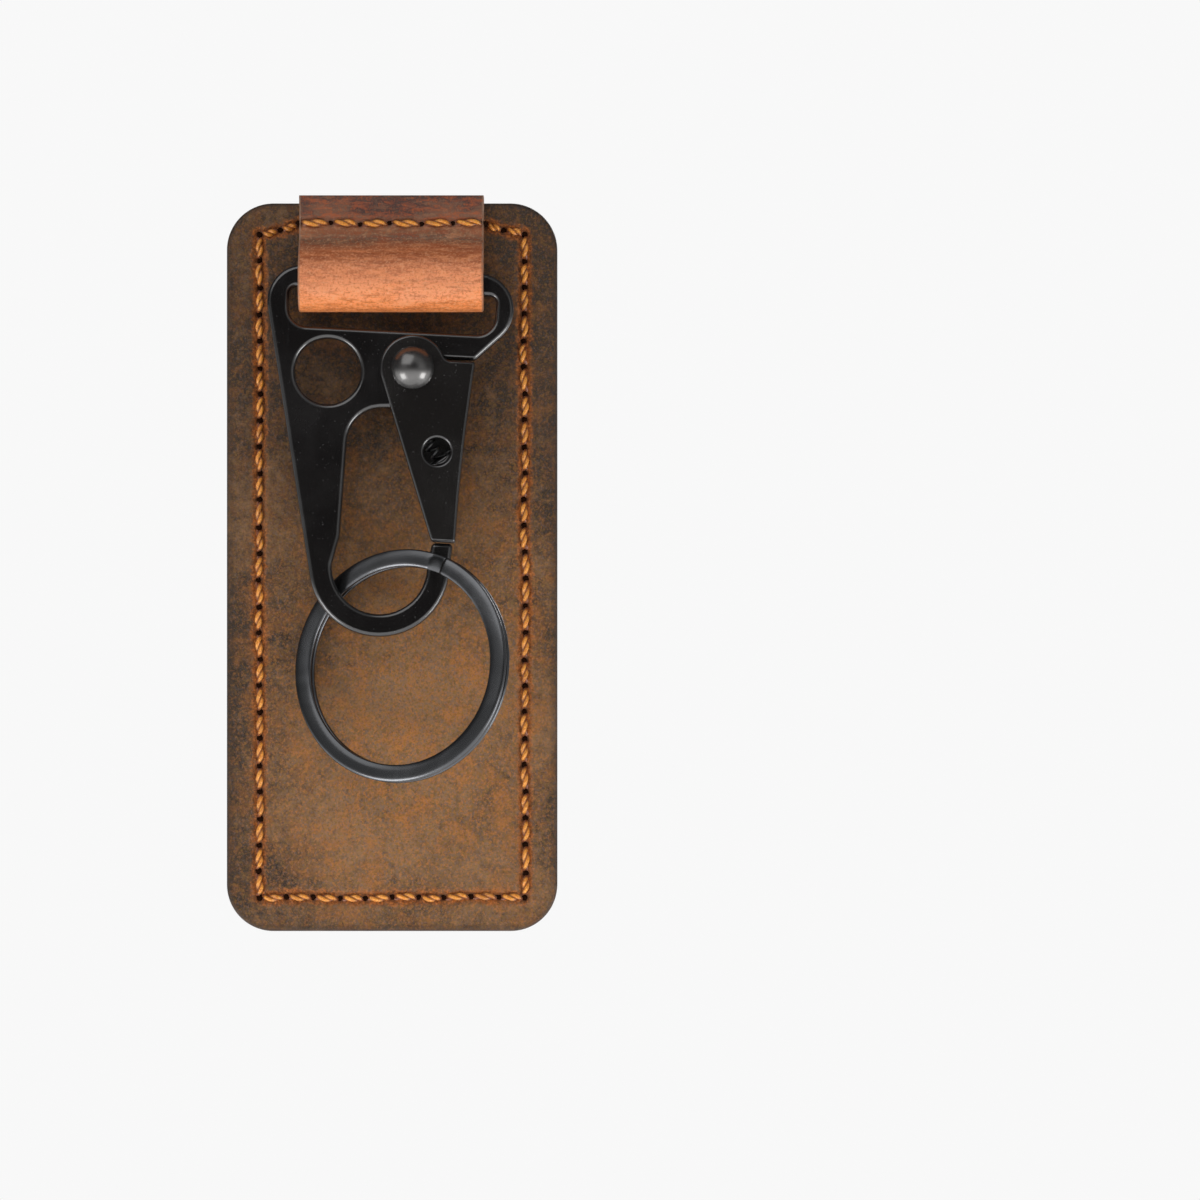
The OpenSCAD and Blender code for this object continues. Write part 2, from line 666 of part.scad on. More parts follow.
// Coiled spring, swept with six sides and eight rings to a turn
coil_r = spring_r - spring_wire / 2;
rings_per_turn = 8;
wire_sides = 6;
coil_rings = spring_turns * rings_per_turn;
coil_rise = (spring_len - spring_wire) / coil_rings;
echo(spring_least_gap = (spring_len - spring_wire) / spring_turns - spring_wire);
coil_points = [
    for (i = [0:coil_rings]) let (turn = i * 360 / rings_per_turn)
    for (j = [0:wire_sides - 1]) let (a = j * 360 / wire_sides, r = coil_r + spring_wire / 2 * cos(a))
    [r * cos(turn), r * sin(turn), spring_wire / 2 * (1 + sin(a)) + i * coil_rise]
];
coil_faces = concat(
    [for (i = [0:coil_rings - 1]) for (j = [0:wire_sides - 1])
        let (a = i * wire_sides + j, b = i * wire_sides + (j + 1) % wire_sides)
        [a, b, a + wire_sides]],
    [for (i = [0:coil_rings - 1]) for (j = [0:wire_sides - 1])
        let (a = i * wire_sides + j, b = i * wire_sides + (j + 1) % wire_sides)
        [b, b + wire_sides, a + wire_sides]],
    [for (j = [1:wire_sides - 2]) [0, j + 1, j]],
    [for (j = [1:wire_sides - 2]) [for (k = [0, j, j + 1]) coil_rings * wire_sides + k]]
);

module gate_spring() {
    color(spring_colour_shares)
    hook_frame() translate([spring_start[0], 0, spring_start[1]]) rotate([0, 180 - spring_angle, 0])
        polyhedron(coil_points, coil_faces);
}

// Frame of the resting ring: its axis lies along Y before the tilt
module ring_frame() {
    translate([ring_centre_x, ring_centre_y, ring_centre_z])
        rotate(a = ring_tilt, v = [-cos(ring_tilt_line), 0, -sin(ring_tilt_line)]) children();
}

// One flat coil, from the end of the step round to its start
module coil(y) {
    translate([0, y, 0]) rotate([90, 0, 0]) rotate([0, 0, cut_angle + step_angle])
        rotate_extrude(angle = 360 - step_angle)
            translate([ring_od / 2 - ring_w, 0]) square([ring_w, ring_wire_t]);
}

// Step from the front coil down to the rear one, let into both and a little thinner
step_trim = coil_gap / 4;
step_t = ring_wire_t - 2 * step_trim;
step_run = (ring_od / 2 - ring_w) * tan(step_angle / 2);
step_hold = step_run + ring_w / 4;
front_y = step_trim - ring_t / 2;
rear_y = -front_y - step_t;
step_profile = [
    [-step_hold, front_y], [-step_run, front_y], [step_run, rear_y], [step_hold, rear_y],
    [step_hold, rear_y + step_t], [step_run, rear_y + step_t],
    [-step_run, front_y + step_t], [-step_hold, front_y + step_t]
];

module coil_step() {
    intersection() {
        rotate([0, 90 - cut_angle - step_angle / 2, 0]) translate([0, 0, ring_od / 4])
            linear_extrude(ring_od / 2) polygon(step_profile);
        rotate([90, 0, 0]) difference() {
            cylinder(d = ring_od - 2 * step_trim, h = 2 * ring_t, center = true);
            cylinder(d = ring_od - 2 * (ring_w - step_trim), h = 3 * ring_t, center = true);
        }
    }
}

module key_ring() {
    color(ring_colour_shares)
    ring_frame() {
        coil(ring_t / 2);
        coil(ring_wire_t - ring_t / 2);
        coil_step();
    }
}

front_panel();
back_panel();
hook_loop();
front_stitches();
back_stitches();
clip_base();
clip_arm();
clip_rivets();
rivet_caps();
hook_body();
gate();
gate_rivet();
gate_spring();
key_ring();
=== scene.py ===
import json
from math import ceil, cos, degrees, hypot, pi, radians, sin
import bmesh
import bpy
import numpy as np
from mathutils import Matrix, Vector, noise


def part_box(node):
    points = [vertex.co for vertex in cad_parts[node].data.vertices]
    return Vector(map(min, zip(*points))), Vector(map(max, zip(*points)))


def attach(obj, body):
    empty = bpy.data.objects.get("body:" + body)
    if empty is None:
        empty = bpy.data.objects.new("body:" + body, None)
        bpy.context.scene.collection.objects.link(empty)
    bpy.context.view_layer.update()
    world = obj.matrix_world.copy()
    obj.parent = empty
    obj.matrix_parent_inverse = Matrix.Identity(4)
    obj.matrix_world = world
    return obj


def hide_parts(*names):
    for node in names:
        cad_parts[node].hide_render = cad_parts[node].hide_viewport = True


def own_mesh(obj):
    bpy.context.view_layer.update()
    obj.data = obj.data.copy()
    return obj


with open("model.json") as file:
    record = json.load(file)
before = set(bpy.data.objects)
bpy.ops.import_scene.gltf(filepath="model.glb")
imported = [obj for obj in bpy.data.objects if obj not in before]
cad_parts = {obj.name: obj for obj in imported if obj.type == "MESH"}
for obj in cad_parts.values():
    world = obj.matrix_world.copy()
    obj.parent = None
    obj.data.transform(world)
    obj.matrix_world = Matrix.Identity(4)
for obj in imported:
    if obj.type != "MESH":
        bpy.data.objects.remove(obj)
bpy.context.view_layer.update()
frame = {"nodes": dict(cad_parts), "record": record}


# Leather pad
# Two panels of oiled, waxed cowhide, glued back to back and trimmed together.
# The cut edges are rounded and burnished dark; the needle pulls the seam in.

def srgb(red, green, blue):
    """Colour in screen levels from 0 to 255, as the linear one that a shader wants."""
    levels = [((c / 255 + 0.055) / 1.055) ** 2.4 if c > 10 else c / 3295 for c in (red, green, blue)]
    return (*levels, 1.0)


def feed(tree, socket, value):
    """Links an output, or a node's first output, to the input, or else sets the input's value."""
    if isinstance(value, bpy.types.Node):
        value = value.outputs[0]
    if isinstance(value, bpy.types.NodeSocket):
        tree.links.new(value, socket)
    else:
        socket.default_value = value


def add(tree, kind, feeds=None, **settings):
    """Adds a node; settings are its own options, and feeds fill its inputs by name or number."""
    made = tree.nodes.new(kind)
    for key, value in settings.items():
        setattr(made, key, value)
    for key, value in (feeds or {}).items():
        feed(tree, made.inputs[key], value)
    return made


def calc(tree, operation, first, second=0.5):
    return add(tree, "ShaderNodeMath", {0: first, 1: second}, operation=operation).outputs[0]


def times(tree, first, second):
    return calc(tree, "MULTIPLY", first, second)


def plus(tree, first, second):
    return calc(tree, "ADD", first, second)


def less(tree, first, second):
    return calc(tree, "SUBTRACT", first, second)


def ramp(tree, value, low, high, start=0.0, end=1.0):
    """Value from low to high, stretched to run from start to end and held beyond them."""
    feeds = {"Value": value, "From Min": low, "From Max": high, "To Min": start, "To Max": end}
    return add(tree, "ShaderNodeMapRange", feeds, clamp=True).outputs["Result"]


def coated(tree, colour, coats):
    """Colour under coats, each a share and a colour of its own, the last one on top."""
    for share, coat in coats:
        colour = add(tree, "ShaderNodeMix", {0: share, 6: colour, 7: coat}, data_type="RGBA").outputs[2]
    return colour


def clouds(tree, where, size, detail=3.0, rough=0.6, warp=0.0, output="Fac"):
    """Soft noise whose blotches are about size metres across."""
    feeds = {"Vector": where, "Scale": 1 / size, "Detail": detail, "Roughness": rough, "Distortion": warp}
    return add(tree, "ShaderNodeTexNoise", feeds).outputs[output]


def place(tree, stretch=(1, 1, 1)):
    """Object coordinates, stretched along each axis."""
    where = add(tree, "ShaderNodeTexCoord").outputs["Object"]
    return add(tree, "ShaderNodeMapping", {"Vector": where, "Scale": stretch}).outputs["Vector"]


def new_group(name, colours, numbers):
    """Node group that takes colours and numbers, and gives a surface's colour, roughness and height."""
    tree = bpy.data.node_groups.new(name, "ShaderNodeTree")
    for way, kind, labels in (("INPUT", "NodeSocketColor", colours), ("INPUT", "NodeSocketFloat", numbers),
                              ("OUTPUT", "NodeSocketColor", ("Color",)),
                              ("OUTPUT", "NodeSocketFloat", ("Roughness", "Height"))):
        for label in labels:
            tree.interface.new_socket(label, in_out=way, socket_type=kind)
    return tree, add(tree, "NodeGroupInput").outputs


def oiled_leather_group():
    """Pull-up leather: dark wax over a warm ground, mottled and specked where wear shows; the wax thickens
    where the wear mask is low, which at the top of the front panel is painted shade from the hook.
    """
    tree, given = new_group("oiled_leather", ("Ground", "Wax", "Rub", "Burnish", "Seam colour"),
                            ("Edge", "Seam", "Hole", "Worn"))
    where = place(tree)
    broad = clouds(tree, where, 0.016, 4, 0.62, 0.4)
    middle = clouds(tree, where, 0.0042, 4, 0.7, 0.2)
    small = clouds(tree, where, 0.0016, 3, 0.65, 0.3)
    grains = clouds(tree, where, 0.00032, 2, 0.65, output="Color")
    first, second, third = add(tree, "ShaderNodeSeparateColor", {0: grains}).outputs
    # More wax where the wear mask is low: real wax, and at the top of the front panel painted shade round
    # the hook.
    waxed = plus(tree, times(tree, broad, 0.6), times(tree, middle, 0.4))
    waxed = less(tree, plus(tree, ramp(tree, waxed, 0.36, 0.62), 0.55), given["Worn"])
    waxed = plus(tree, waxed, times(tree, less(tree, small, 0.5), 1.9))
    # Rub colours, dust and oil fade where the wear mask is low, which near the hook adds to the painted
    # shade.
    worn_and_lit = ramp(tree, given["Worn"], 0.0, 0.9, 0.25, 1.0)
    patch = times(tree, ramp(tree, middle, 0.48, 0.6, 0.0, 0.95), ramp(tree, small, 0.38, 0.58, 0.15, 1.0))
    orange = ramp(tree, first, 0.5, 0.64, 0.0, 0.9)
    worn_lit_share = ramp(tree, given["Worn"], 0.0, 0.9, 0.5, 1.0)
    dust = ramp(tree, second, 0.52, 0.66, 0.0, 0.52)
    oil = ramp(tree, second, 0.48, 0.36, 0.0, 0.65)
    soot = ramp(tree, third, 0.5, 0.34, 0.0, 0.35)
    soft = clouds(tree, where, 0.002, 2, 0.5, output="Color")
    bend = add(tree, "ShaderNodeVectorMath", {0: soft, 1: (0.003, 0.003, 0.003), 2: where},
               operation="MULTIPLY_ADD")
    crack = add(tree, "ShaderNodeTexVoronoi", {"Vector": bend, "Scale": 1 / 0.0034},
                feature="DISTANCE_TO_EDGE").outputs["Distance"]
    creased = times(tree, ramp(tree, crack, 0.05, 0.0), ramp(tree, broad, 0.58, 0.68))
    creased = times(tree, creased, ramp(tree, first, 0.4, 0.6, 0.0, 0.6))
    pulled = times(tree, given["Seam"], ramp(tree, first, 0.36, 0.62, 0.35, 1.0))
    pulled = times(tree, pulled, ramp(tree, small, 0.34, 0.58, 0.4, 1.0))
    dull = times(tree, given["Seam"], ramp(tree, second, 0.52, 0.34, 0.0, 0.75))
    raw = times(tree, given["Seam"], ramp(tree, third, 0.53, 0.66, 0.0, 0.7))
    # Near-black spots at the needle holes: painted shade of the holes.
    hole_shade = times(tree, given["Hole"], ramp(tree, second, 0.3, 0.6, 0.7, 1.0))
    dressed = times(tree, given["Edge"], ramp(tree, middle, 0.3, 0.6, 0.7, 1.0))
    colour = coated(tree, given["Ground"], (
        (ramp(tree, waxed, 0.0, 1.15), given["Wax"]), (times(tree, patch, worn_and_lit), given["Rub"]),
        (times(tree, orange, worn_and_lit), given["Rub"]), (times(tree, dust, worn_lit_share), srgb(106, 97, 94)),
        (times(tree, oil, worn_lit_share), srgb(130, 98, 42)), (soot, given["Burnish"]), (creased, given["Burnish"]),
        (pulled, given["Seam colour"]), (dull, srgb(84, 42, 20)), (raw, srgb(216, 132, 62)),
        (hole_shade, srgb(30, 13, 7)), (dressed, given["Burnish"])))
    rough = plus(tree, ramp(tree, middle, 0.3, 0.7, 0.5, 0.64), times(tree, given["Seam"], 0.14))
    pores = add(tree, "ShaderNodeTexVoronoi", {"Vector": where, "Scale": 1 / 0.0007}).outputs["Distance"]
    height = plus(tree, times(tree, pores, 0.35), times(tree, first, 0.5))
    height = plus(tree, height, times(tree, middle, 0.8))
    add(tree, "NodeGroupOutput", {"Color": colour, "Roughness": rough, "Height": height})
    return tree


def attribute_of(tree, name):
    return add(tree, "ShaderNodeAttribute", attribute_name=name, attribute_type="GEOMETRY").outputs["Fac"]


def new_material(name):
    made = bpy.data.materials.new(name)
    made.use_nodes = True
    made.node_tree.nodes.clear()
    return made, made.node_tree


def surface(tree, colour, roughness, height, depth, looks):
    """Principled shader whose bump is depth metres deep; looks are more of its inputs."""
    bump = add(tree, "ShaderNodeBump", {"Distance": depth, "Strength": 1.0, "Height": height})
    feeds = {"Base Color": colour, "Roughness": roughness, "Normal": bump}
    shader = add(tree, "ShaderNodeBsdfPrincipled", feeds | looks)
    add(tree, "ShaderNodeOutputMaterial", {"Surface": shader})


def leather_material(name, colours):
    """Hide in its own colours; the panel's points carry the masks."""
    made, tree = new_material(name)
    masks = {"Edge": "edge_near", "Seam": "seam_near", "Hole": "hole_near", "Worn": "wear_and_shade"}
    feeds = {label: attribute_of(tree, mask) for label, mask in masks.items()}
    hide = add(tree, "ShaderNodeGroup", colours | feeds, node_tree=oiled_leather)
    surface(tree, *hide.outputs, GRAIN_DEPTH, {"Specular IOR Level": 0.32})
    return made


def needle_holes(ends, wobble, seed, pitch=0.0036):
    """Holes along a line from end to end, a stitch apart, each a little off the line."""
    start, stop = (np.array(e, float) for e in ends)
    count = max(1, round(float(np.linalg.norm(stop - start)) / pitch))
    chance = np.random.default_rng(seed)
    holes = [start + (stop - start) * i / count for i in range(count + 1)]
    return [h + (chance.normal(0, wobble, 2) if 0 < i < count else 0) for i, h in enumerate(holes)]


def seam_runs(wobble, seed):
    """Runs of holes in x and z: left side, bottom, right side, and the rises beside the strap."""
    left_top, left_foot = (-SEAM_X, SEAM_TOP), (-SEAM_X, SEAM_BOTTOM)
    right_top, right_foot = (SEAM_X, SEAM_TOP), (SEAM_X, SEAM_BOTTOM)
    runs = ((left_top, left_foot), (left_foot, right_foot), (right_foot, right_top),
            (left_top, STRAP_SEAM[0]), (STRAP_SEAM[1], right_top))
    return [needle_holes(ends, wobble, seed + i) for i, ends in enumerate(runs)]


def distance_to_runs(points, runs):
    """Distance of each x, z point to the nearest stretch of a seam, and to the nearest hole."""
    to_line = np.full(len(points), 1.0)
    to_hole = np.full(len(points), 1.0)
    for run in runs:
        for a, b in zip(run, run[1:]):
            way = b - a
            share = np.clip(((points - a) @ way) / (way @ way), 0, 1)
            to_line = np.minimum(to_line, np.linalg.norm(points - a - share[:, None] * way, axis=1))
        for hole in run:
            to_hole = np.minimum(to_hole, np.linalg.norm(points - hole, axis=1))
    return to_line, to_hole


def linked(name, data):
    """Object in the scene that shows the data."""
    made = bpy.data.objects.new(name, data)
    bpy.context.scene.collection.objects.link(made)
    return made


def mesh_piece(name, verts, faces, masks, material):
    """Smooth object of one material; masks give each point a number by name."""
    mesh = bpy.data.meshes.new(name)
    mesh.from_pydata(verts, [], faces)
    for label, values in masks.items():
        mesh.attributes.new(label, "FLOAT", "POINT").data.foreach_set("value", values)
    mesh.materials.append(material)
    mesh.shade_smooth()
    return linked(name, mesh)


def noise_over(flat, scale, layer):
    """Noise from -1 to 1 at x, z points, whose bumps are about 1 / scale metres across."""
    return np.array([noise.noise(Vector((x * scale, layer, z * scale))) for x, z in flat])


def panel_rows(low, high):
    """Rows down the flat face: height, half width, and where the edge faces in x and z."""
    corner_steps, side_rows = 36, 380
    half_w, corner = high.x - FACE_MARGIN, CORNER_R - FACE_MARGIN
    turn = [radians(90 - 90 * i / corner_steps) for i in range(corner_steps)]
    ends = [(corner * (1 - sin(t)), half_w - corner * (1 - cos(t)), cos(t), sin(t)) for t in turn]
    rows = [(high.z - FACE_MARGIN - drop, half, nx, nz) for drop, half, nx, nz in ends]
    rows += [(z, half_w, 1.0, 0.0) for z in np.linspace(high.z - CORNER_R, low.z + CORNER_R, side_rows)]
    rows += [(low.z + FACE_MARGIN + drop, half, nx, -nz) for drop, half, nx, nz in reversed(ends)]
    return rows


def panel_columns(seam_at):
    """Places across a row, as shares of its half width, closest together along the two seams."""
    beside, counts = 0.07, (6, 20, 60, 20, 6)
    stops = [-1, -seam_at - beside, -seam_at + beside, seam_at - beside, seam_at + beside, 1]
    stretches = [np.linspace(a, b, count) for a, b, count in zip(stops, stops[1:], counts)]
    return np.unique(np.concatenate(stretches))


def face_rim(rows, across):
    """Points round the flat face in turn: each one's number, and where the edge faces there."""
    last = len(rows) - 1
    rim = [(i, (0.0, rows[0][3])) for i in range(across)]
    rim += [(r * across + across - 1, rows[r][2:]) for r in range(1, last)]
    rim += [(last * across + i, (0.0, rows[last][3])) for i in reversed(range(across))]
    rim += [(r * across, (-rows[r][2], rows[r][3])) for r in reversed(range(1, last))]
    return rim


def edge_profile(thick):
    """Steps from the shown face round the cut edge to the glued face, as inset and depth."""
    round_r, back_r = 0.00055, 0.0002
    bends = [radians(a) for a in range(0, 91, 18)]
    profile = [(round_r * (1 - sin(t)), round_r * (1 - cos(t))) for t in bends]
    return profile + [(0.0, thick / 2), (0.0, thick - back_r), (back_r, thick)]


def hide_relief(flat, side, to_line, to_hole, groove, hole_depth):
    """How far each point stands out of the face: faint waves, the pressed groove and the pricks."""
    groove_half, groove_depth = groove
    wave_level, wave_depth, prick_r = -0.00006, 0.00005, 0.00042
    relief = wave_level + wave_depth * np.clip(noise_over(flat, 55, side * 3), -1, 1)
    relief -= groove_depth / (1 + np.exp((to_line - groove_half) / GROOVE_SOFT))
    return relief - hole_depth * np.exp(-(to_hole / prick_r) ** 2)


def hide_masks(flat, inside, to_line, to_hole, band_half, hole_shade_r, worn_and_lit):
    """Each point's share of the seam's colour, the burnished edge, wear with painted shade, and the holes'
    painted shade.
    """
    mid_x, mid_z, half_x, half_z = worn_and_lit
    band_soft, edge_width, rim_fade_in = 0.0001, 0.0003, 0.008
    ragged = 0.8 * noise_over(flat, 900, 7.0) + 1.2 * noise_over(flat, 2600, 3.0)
    off = np.hypot((flat[:, 0] - mid_x) / half_x, (flat[:, 1] - mid_z) / half_z)
    return {
        "seam_near": 1 / (1 + np.exp((to_line - band_half * (1 + 0.4 * ragged)) / band_soft)),
        "edge_near": RIM_BURNISH * np.clip(1 - (inside - FACE_MARGIN) / edge_width, 0, 1),
        # Wear mask: high in the lighter middle, low towards the top and the rim; on the front panel the low
        # part round the hook is painted shade.
        "wear_and_shade": np.clip(1.12 - 0.7 * off, -0.25, 0.86) * np.clip(0.5 + inside / rim_fade_in, 0, 1),
        "hole_near": np.exp(-(to_hole / (hole_shade_r * (1 + 0.25 * ragged))) ** 4)}


def leather_panel(name, node, side, runs, groove, band_half, hole, worn_and_lit, material):
    """Panel whose shown face looks along side in Y; relief and masks follow the seam.

    Groove gives its half width and depth, and hole the radius of its painted shade and its own depth.
    The tuple after hole gives the middle of the lighter part, where wear lightens the leather, and its half
    width and half height; away from it the leather darkens, which at the top of the front panel is painted
    shade from the hook.
    """
    low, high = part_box(node)
    hole_shade_r, hole_depth = hole
    fade_steps, burnish_step = 4, 0.18
    rows, columns = panel_rows(low, high), panel_columns(SEAM_X / (high.x - FACE_MARGIN))
    flat = np.array([(u * half, z) for z, half, _, _ in rows for u in columns])
    to_line, to_hole = distance_to_runs(flat, runs)
    inside = np.minimum.reduce([high.x - np.abs(flat[:, 0]), high.z - flat[:, 1], flat[:, 1] - low.z])
    relief = hide_relief(flat, side, to_line, to_hole, groove, hole_depth)
    masks = hide_masks(flat, inside, to_line, to_hole, band_half, hole_shade_r, worn_and_lit)
    masks = {label: list(values) for label, values in masks.items()}

    across = len(columns)
    shown_y = low.y if side < 0 else high.y
    verts = [(x, shown_y + side * r, z) for (x, z), r in zip(flat, relief)]
    faces = []
    for a in (r * across + c for r in range(len(rows) - 1) for c in range(across - 1)):
        quad = (a, a + across, a + across + 1, a + 1)
        faces.append(quad if side < 0 else quad[::-1])
    rim = face_rim(rows, across)
    loop = [i for i, _ in rim]
    for number, (inset, deep) in enumerate(edge_profile(high.y - low.y)):
        fade = max(0.0, 1 - (number + 1) / fade_steps)
        burnish = min(1.0, RIM_BURNISH + burnish_step * number)
        start, out = len(verts), FACE_MARGIN - inset
        for i, (nx, nz) in rim:
            x, z = flat[i]
            verts.append((x + nx * out, shown_y - side * deep + side * relief[i] * fade, z + nz * out))
            for label, value in zip(masks, (0.0, burnish, masks["wear_and_shade"][i], 0.0)):
                masks[label].append(value)
        ring = list(range(start, len(verts)))
        for a, b, c, d in zip(loop, loop[1:] + loop[:1], ring[1:] + ring[:1], ring):
            faces.append((a, b, c, d) if side < 0 else (d, c, b, a))
        loop = ring
    faces.append(tuple(reversed(loop)) if side > 0 else tuple(loop))
    return mesh_piece(name, verts, faces, masks, material)


PANEL_LOW, PANEL_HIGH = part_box("front_panel")
CORNER_R = 0.0064
FACE_MARGIN = 0.0007
RIM_BURNISH = 0.3
GRAIN_DEPTH = 0.00012
GROOVE_SOFT = 0.00016
SEAM_X = PANEL_HIGH.x - 0.0045
SEAM_TOP = PANEL_HIGH.z - 0.0043
SEAM_BOTTOM = PANEL_LOW.z + 0.0046
STRAP_HALF = 0.0127
STRAP_SEAM_RISE = 0.0014
STRAP_SEAM = [(x, SEAM_TOP + STRAP_SEAM_RISE) for x in (-STRAP_HALF, STRAP_HALF)]
FRONT_RUNS = seam_runs(0.00009, 11)
CROSS_RUN = needle_holes(STRAP_SEAM, 0.00014, 17, 0.0043)
BACK_RUNS = seam_runs(0.00012, 23) + [needle_holes(STRAP_SEAM, 0.00035, 29)]

oiled_leather = oiled_leather_group()
front_hide = leather_material("front_panel_leather", {
    "Ground": srgb(143, 106, 72), "Wax": srgb(45, 33, 24), "Rub": srgb(182, 116, 58),
    "Burnish": srgb(42, 31, 25), "Seam colour": srgb(182, 102, 40)})
back_hide = leather_material("back_panel_leather", {
    "Ground": srgb(110, 84, 58), "Wax": srgb(62, 50, 40), "Rub": srgb(142, 92, 50),
    "Burnish": srgb(40, 32, 28), "Seam colour": srgb(166, 90, 36)})
front_piece = leather_panel("leather_front", "front_panel", -1, FRONT_RUNS, (0.0007, 0.0003), 0.0009,
                            (0.00062, 0.0003), (0.0045, -0.065, 0.0195, 0.03), front_hide)
back_piece = leather_panel("leather_back", "back_panel", 1, BACK_RUNS, (0.0011, 0.0003), 0.00125,
                           (0.00036, 0.00012), (0.0, -0.074, 0.015, 0.03), back_hide)
for piece, node in ((front_piece, "front_panel"), (back_piece, "back_panel")):
    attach(piece, "pad")
    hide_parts(node)


# Strap loop
# One strip of the same hide, folded round the hook's bar, with both ends sewn
# in at the pad's top. The bend pulls the wax out, so the fold shows tan.

STRAP_T = 0.0017
LOOP_BORE_R = 0.0021
LOOP_SLACK = 0.0014
LOOP_SAG = 0.0006
LOOP_BEND_R = 0.0024
LOOP_LEAN = radians(50)
BAR_DROP = 0.01075
STRAP_OVER = 0.0009
BAR_Z = PANEL_HIGH.z - BAR_DROP


def arc_points(centre, r, start, stop):
    """Path points as forward, up and the angle of the outward side."""
    steps = max(3, ceil(abs(degrees(stop - start)) / 5))
    turn = [start + (stop - start) * i / steps for i in range(steps + 1)]
    return [(centre[0] + r * cos(t), centre[1] + r * sin(t), t) for t in turn]


def spread(a, b, gap=0.0003):
    """Straight run of path points between two, with the ends left out."""
    count = max(1, int(hypot(b[0] - a[0], b[1] - a[1]) / gap))
    return [tuple(a[k] + (b[k] - a[k]) * i / count for k in range(3)) for i in range(1, count)]


def strap_path():
    """Middle line of the strap from the back layer's top, round the bar, to the front layer's top."""
    shift = LOOP_BORE_R + STRAP_T / 2
    front = STRAP_T + LOOP_BORE_R + shift
    join = 1.5 * STRAP_T + 0.00005
    run = (front - join - 2 * LOOP_BEND_R * (1 - cos(LOOP_LEAN))) / sin(LOOP_LEAN)
    upper = (front - LOOP_BEND_R, LOOP_SLACK - LOOP_SAG)
    lean_end = (upper[0] + LOOP_BEND_R * cos(LOOP_LEAN) - run * sin(LOOP_LEAN),
                upper[1] + LOOP_BEND_R * sin(LOOP_LEAN) + run * cos(LOOP_LEAN))
    lower = (lean_end[0] + LOOP_BEND_R * cos(LOOP_LEAN), lean_end[1] + LOOP_BEND_R * sin(LOOP_LEAN))
    top = BAR_DROP + STRAP_OVER
    back_top = (STRAP_T / 2, top, pi)
    fold = arc_points((STRAP_T + LOOP_BORE_R, -LOOP_SAG), shift, pi, 2 * pi)
    fold_end = fold[-1][:2] + (0.0,)
    crown = arc_points(upper, LOOP_BEND_R, 0.0, LOOP_LEAN)
    meet = [(x, z, t - pi) for x, z, t in arc_points(lower, LOOP_BEND_R, pi + LOOP_LEAN, pi)]
    front_top = (join, top, 0.0)
    path = [back_top] + spread(back_top, fold[0]) + fold + spread(fold_end, crown[0]) + crown
    path += spread(crown[-1], meet[0]) + meet + spread(meet[-1], front_top) + [front_top]
    return [path[0]] + [b for a, b in zip(path, path[1:]) if hypot(b[0] - a[0], b[1] - a[1]) > 1e-6]


def tube_piece(name, verts, sides, masks, material):
    """Closed tube through rings of as many points as sides, with its faces turned outward."""
    faces = []
    for start in range(0, len(verts) - sides, sides):
        for side in range(sides):
            a, b = start + side, start + (side + 1) % sides
            faces.append((a, b, b + sides, a + sides))
    faces += [tuple(range(sides)), tuple(range(len(verts) - sides, len(verts)))]
    piece = mesh_piece(name, verts, faces, masks, material)
    shape = bmesh.new()
    shape.from_mesh(piece.data)
    bmesh.ops.recalc_face_normals(shape, faces=shape.faces)
    shape.to_mesh(piece.data)
    shape.free()
    return piece


def strap_section():
    """Points round the strap's flat section.

    Each has its place across, the face that it lies on, its drop from that face,
    and 1 where it belongs to the cut edge.
    """
    half, edge_r, columns = STRAP_HALF, 0.00028, 90
    across = list(np.linspace(-half + edge_r, half - edge_r, columns))
    corner = [radians(a) for a in (15, 35, 55, 75)]
    rise = [(half - edge_r + edge_r * sin(t), edge_r * (1 - cos(t))) for t in corner]
    section = [(x, 1.0, 0.0, 0.0) for x in across]
    section += [(x, 1.0, drop, 1.0) for x, drop in rise] + [(half, 0.0, 0.0, 1.0)]
    section += [(x, -1.0, drop, 1.0) for x, drop in reversed(rise)]
    section += [(x, -1.0, 0.0, 0.0) for x in reversed(across)]
    section += [(-x, -1.0, drop, 1.0) for x, drop in rise] + [(-half, 0.0, 0.0, 1.0)]
    section += [(-x, 1.0, drop, 1.0) for x, drop in reversed(rise)]
    return section


def strap_loop(material):
    """Strap as a closed tube of flat, round-edged sections along its path."""
    path, section = strap_path(), strap_section()
    front_length, uneven_t, uneven_w = 0.014, 0.00003, 0.004
    groove_half, groove_depth, prick_r, prick_depth, hole_shade_r = 0.0006, 0.00028, 0.0004, 0.0002, 0.0005
    lengths = [0.0]
    for a, b in zip(path, path[1:]):
        lengths.append(lengths[-1] + hypot(b[0] - a[0], b[1] - a[1]))
    verts, masks = [], {"edge_near": [], "along": [], "hole_near": []}
    for (forward, up, t), length in zip(path, lengths):
        left = lengths[-1] - length
        for x, face, drop, edge in section:
            away = face * (STRAP_T / 2 - drop)
            hole = 0.0
            if left < front_length and face > 0:
                (to_line,), (to_hole,) = distance_to_runs(np.array([[x, BAR_Z + up]]), [CROSS_RUN])
                away -= groove_depth / (1 + np.exp((to_line - groove_half) / GROOVE_SOFT)) * (1 - edge)
                away -= prick_depth * np.exp(-(to_hole / prick_r) ** 2)
                hole = float(np.exp(-(to_hole / hole_shade_r) ** 4))
            away -= face * uneven_t * (1 + noise.noise(Vector((x * 90, length * 260, 2.0))))
            narrow = 1 - uneven_w * (1 + noise.noise(Vector((left * 160, 5.0, x * 9))))
            verts.append((x * narrow, PANEL_LOW.y - forward - away * cos(t), BAR_Z + up + away * sin(t)))
            for label, value in zip(masks, (edge, left, hole)):
                masks[label].append(value)
    return tube_piece("strap_loop", verts, len(section), masks, material)


